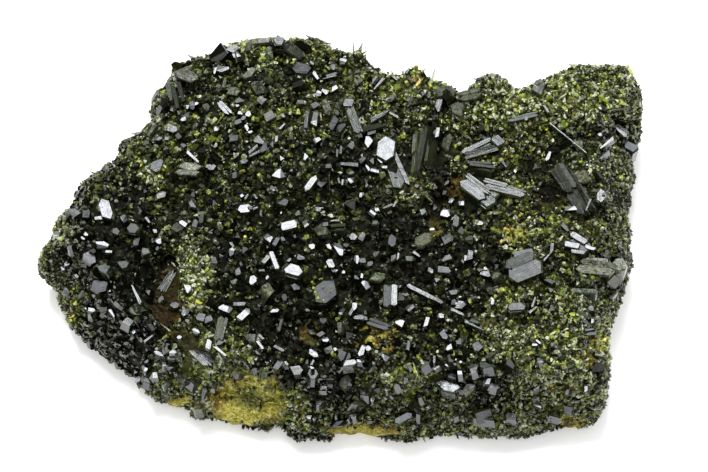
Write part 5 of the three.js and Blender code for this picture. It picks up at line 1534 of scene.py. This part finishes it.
def assembled(name, parts, rng, seed, shade=(0.25, 0.6), gloss=(0.1, 0.6)):
    """One mesh of cut solids, each given by its planes and its own frame."""
    V, Fs, C, G, T = [], [], [], [], []
    base = 0
    side = int(math.ceil(math.sqrt(len(parts))))
    for k, (planes, c, a, b, n) in enumerate(parts):
        v, f = polyhedron(planes)
        sh = Shape(v, f, (1, 0, 0))
        w = v[:, 0:1] * a + v[:, 1:2] * b + v[:, 2:3] * n + c
        V.append(w)
        Fs += [[i + base for i in q] for q in f]
        C.append((np.array([k % side, k // side]) + sh.cell) / side)
        G.append(sh.grain + k * 7.3 + seed)
        up = (v[:, 2:3] / -v[:, 2].min() + 1)
        T.append(np.concatenate([np.tile([rng.uniform(*shade), rng.uniform(*gloss), rng.random()], (len(v), 1)), up], 1))
        base += len(v)
    ob = make(name, np.concatenate(V), Fs)
    me = ob.data
    for layer, data in (("OFBake", np.concatenate(C)), ("grain", np.concatenate(G))):
        uv = me.uv_layers.new(name=layer)
        uv.data.foreach_set("uv", data.astype(np.float32).ravel())
    at = me.attributes.new("tint", "FLOAT_COLOR", "POINT")
    at.data.foreach_set("color", np.concatenate(T).astype(np.float32).ravel())
    return ob


def large_crystal(name, rows, seed):
    rng = np.random.default_rng(seed)
    parts = []
    for k, (row, off) in enumerate(zip(rows, TURNED[name])):
        c, a, b, n = frame_of(row, off)
        length, width, depth, taper = row[9:13]
        depth += 0.8
        cuts = BUNDLES[name][k] if name in BUNDLES else (1,)
        if len(cuts) == 1:
            parts.append((blade_planes(length / 2, width / 2, depth, taper, rng, min(0.11 * width, 0.22)), c, a, b, n))
            if width > 1.2:
                # a neighbour grown beside it, a little lower and turned about the long axis
                side = rng.choice([-1, 1])
                roll = side * math.radians(rng.uniform(9, 20))
                nb, nn = b * math.cos(roll) - n * math.sin(roll), n * math.cos(roll) + b * math.sin(roll)
                cc = c + b * side * 0.3 * width - n * rng.uniform(0.1, 0.16) * width + a * rng.normal(0, 0.06 * length)
                parts.append((blade_planes(length * 0.42, width * 0.3, depth - 0.3, taper, rng, 0.08 * width), cc, a, nb, nn))
            continue
        y = -width / 2
        for s in range(len(cuts)):
            wide = cuts[s] * width
            mid = y + wide / 2
            y += wide
            edge = abs(mid) / (width / 2)
            half = length / 2 * (1 - (0.35 * taper + 0.05) * edge * rng.uniform(0.6, 1.6))
            roll = math.radians(rng.normal(0, 2.2))
            yaw = math.radians(rng.normal(0, 1.6))
            nb = b * math.cos(roll) + n * math.sin(roll)
            nn = n * math.cos(roll) - b * math.sin(roll)
            na = a * math.cos(yaw) + nb * math.sin(yaw)
            nb = nb * math.cos(yaw) - a * math.sin(yaw)
            cc = c + b * mid + a * rng.normal(0, 0.03 * length) - n * (abs(rng.normal(0, 0.05 * width)))
            parts.append((blade_planes(half, wide / 2 * 1.12, depth, min(taper * rng.uniform(0.5, 1.4), 0.33), rng, 0.1 * wide), cc, na, nb, nn))
    return assembled(name + "_crystal", parts, rng, seed)


MATTE = {"frosted_prism_upper_left", "grey_prism_centre_right", "dull_prism_left_lower", "slanted_prism_top_left", "flat_blade_notch", "dark_block_notch", "bluish_long_prism", "kite_prism_low", "right_edge_prism", "lath_right", "olive_prism_low_left"}
STRIATED = {"fibrous_blade_left", "upright_needle_sheaf", "blade_stack", "striated_blade_fan", "leaning_prism_low_left", "lath_top_right", "slim_prism_top"}
for i, (name, rows) in enumerate(CRYSTALS.items()):
    ob = large_crystal(name, rows, 900 + i)
    ob.data.materials.append(DULL if name in MATTE else BLADE if name in STRIATED else FACE)
    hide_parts(name)
    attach(ob, "root")

# ---------------------------------------------------------------- the smaller standing crystals
for seed, (kind, mat) in enumerate((("bright", FACE), ("pale", FACE), ("grey", FACE), ("dull", DULL), ("dark", DARK), ("needle", BLADE), ("lath", BLADE), ("fleck", GRAINS))):
    rng = np.random.default_rng(700 + seed)
    parts = []
    for c, a, b, n, half, wide, depth in PLACED[kind]:
        parts.append((facet_planes(half, wide, depth, rng), c, a, b, n))
    ob = assembled(kind + "_crystals", parts, rng, 60 + seed, (0.5, 1.0) if kind == "fleck" else (0.25, 0.6), (0.0, 0.25) if kind in ("bright", "needle") else (0.1, 0.6))
    ob.data.materials.append(mat)
    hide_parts("crystal_crust")
    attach(ob, "root")
    print(kind, len(parts), "crystals")

# ---------------------------------------------------------------- floor, light, camera
floor = make("floor", [(900 * math.cos(a), 900 * math.sin(a), -0.02) for a in np.linspace(0, 2 * math.pi, 65)[:-1]], [list(range(64))])
m, nt, p = material("pale floor")
N = Nodes(nt)
pos = N.add("ShaderNodeTexCoord").outputs["Object"]
N.link(N.ramp(N.noise(pos, 30.0, 3.0), [(0.3, (0.82, 0.82, 0.82)), (0.7, (0.86, 0.86, 0.86))]), p.inputs["Base Color"])
p.inputs["Roughness"].default_value = 0.9
p.inputs["Specular IOR Level"].default_value = 0.2
p.inputs["Emission Color"].default_value = (1, 1, 1, 1)
p.inputs["Emission Strength"].default_value = 0.3
floor.data.materials.append(m)


def softbox(name, direction, distance, size, radiance, colour=(1, 1, 1)):
    d = unit(direction)
    light = bpy.data.lights.new(name, "AREA")
    light.shape = "RECTANGLE"
    light.size, light.size_y = size[0] * MM, size[1] * MM
    light.energy = radiance * math.pi * size[0] * size[1] * MM * MM
    light.color = colour
    ob = bpy.data.objects.new(name, light)
    ob.location = Vector((AIM * (1, 1, 0) + d * distance) * MM)
    ob.rotation_mode = "QUATERNION"
    ob.rotation_quaternion = Vector(-d).to_track_quat("-Z", "Y")
    bpy.context.scene.collection.objects.link(ob)
    return ob


softbox("key", KEY, 700, (190, 190), 10.4)
soft = softbox("key_soft", KEY, 700, (190, 190), 34.0)
soft.visible_glossy = False
softbox("strip_left", (-1.0, 0.25, 0.42), 700, (60, 420), 2.0, (0.95, 0.97, 1.0))
softbox("strip_right", (1.0, 0.3, 0.5), 700, (60, 420), 1.8, (0.95, 0.97, 1.0))

world = bpy.data.worlds.new("studio")
bpy.context.scene.world = world
world.use_nodes = True
nt = world.node_tree
nt.nodes.clear()
N = Nodes(nt)
out = N.add("ShaderNodeOutputWorld")
direction = N.add("ShaderNodeTexCoord").outputs["Generated"]
# a broad soft glow round the key, dark towards the viewer, dim near the horizon
near = N.add("ShaderNodeVectorMath", operation="DOT_PRODUCT")
N.link(direction, near.inputs[0])
near.inputs[1].default_value = tuple(KEY)
swirl = N.noise(direction, 3.0, 2.0, 0.5)
glow = N.ramp(near.outputs["Value"], [(0.0, (0.010, 0.010, 0.009)), (0.5, (0.0035, 0.0036, 0.0028)), (0.78, (0.006, 0.006, 0.0055)), (0.86, (0.14, 0.145, 0.15)), (0.93, (0.76, 0.78, 0.83)), (1.0, (1.0, 1.0, 1.02))])
bg = N.add("ShaderNodeBackground")
N.link(glow, bg.inputs[0])
N.link(N.range(swirl, 0.3, 0.7, 2.6, 6.0), bg.inputs[1])
# the room's even light, which fills the shadows but is too dim and wide to show as a reflection
room = N.add("ShaderNodeBackground")
room.inputs[0].default_value = (1.0, 1.0, 0.97, 1)
room.inputs[1].default_value = 0.72
lit = N.add("ShaderNodeMixShader")
path = N.add("ShaderNodeLightPath")
N.link(path.outputs["Is Diffuse Ray"], lit.inputs[0])
N.link(bg.outputs[0], lit.inputs[1])
N.link(room.outputs[0], lit.inputs[2])
white = N.add("ShaderNodeBackground")
white.inputs[0].default_value = (1, 1, 1, 1)
white.inputs[1].default_value = 1.0
mixer = N.add("ShaderNodeMixShader")
N.link(path.outputs["Is Camera Ray"], mixer.inputs[0])
N.link(lit.outputs[0], mixer.inputs[1])
N.link(white.outputs[0], mixer.inputs[2])
N.link(mixer.outputs[0], out.inputs[0])

cam = bpy.data.cameras.new("camera")
cam.lens, cam.sensor_width = LENS, SENSOR
cam.clip_start, cam.clip_end = 0.01, 10
camera = bpy.data.objects.new("camera", cam)
camera.location = Vector(EYE * MM)
camera.rotation_mode = "QUATERNION"
camera.rotation_quaternion = Vector(-BACK).to_track_quat("-Z", "Y")
bpy.context.scene.collection.objects.link(camera)
bpy.context.scene.camera = camera
bpy.context.scene.view_settings.view_transform = "Standard"
bpy.context.scene.view_settings.look = "None"

# ---------------------------------------------------------------- finish
bpy.context.view_layer.update()
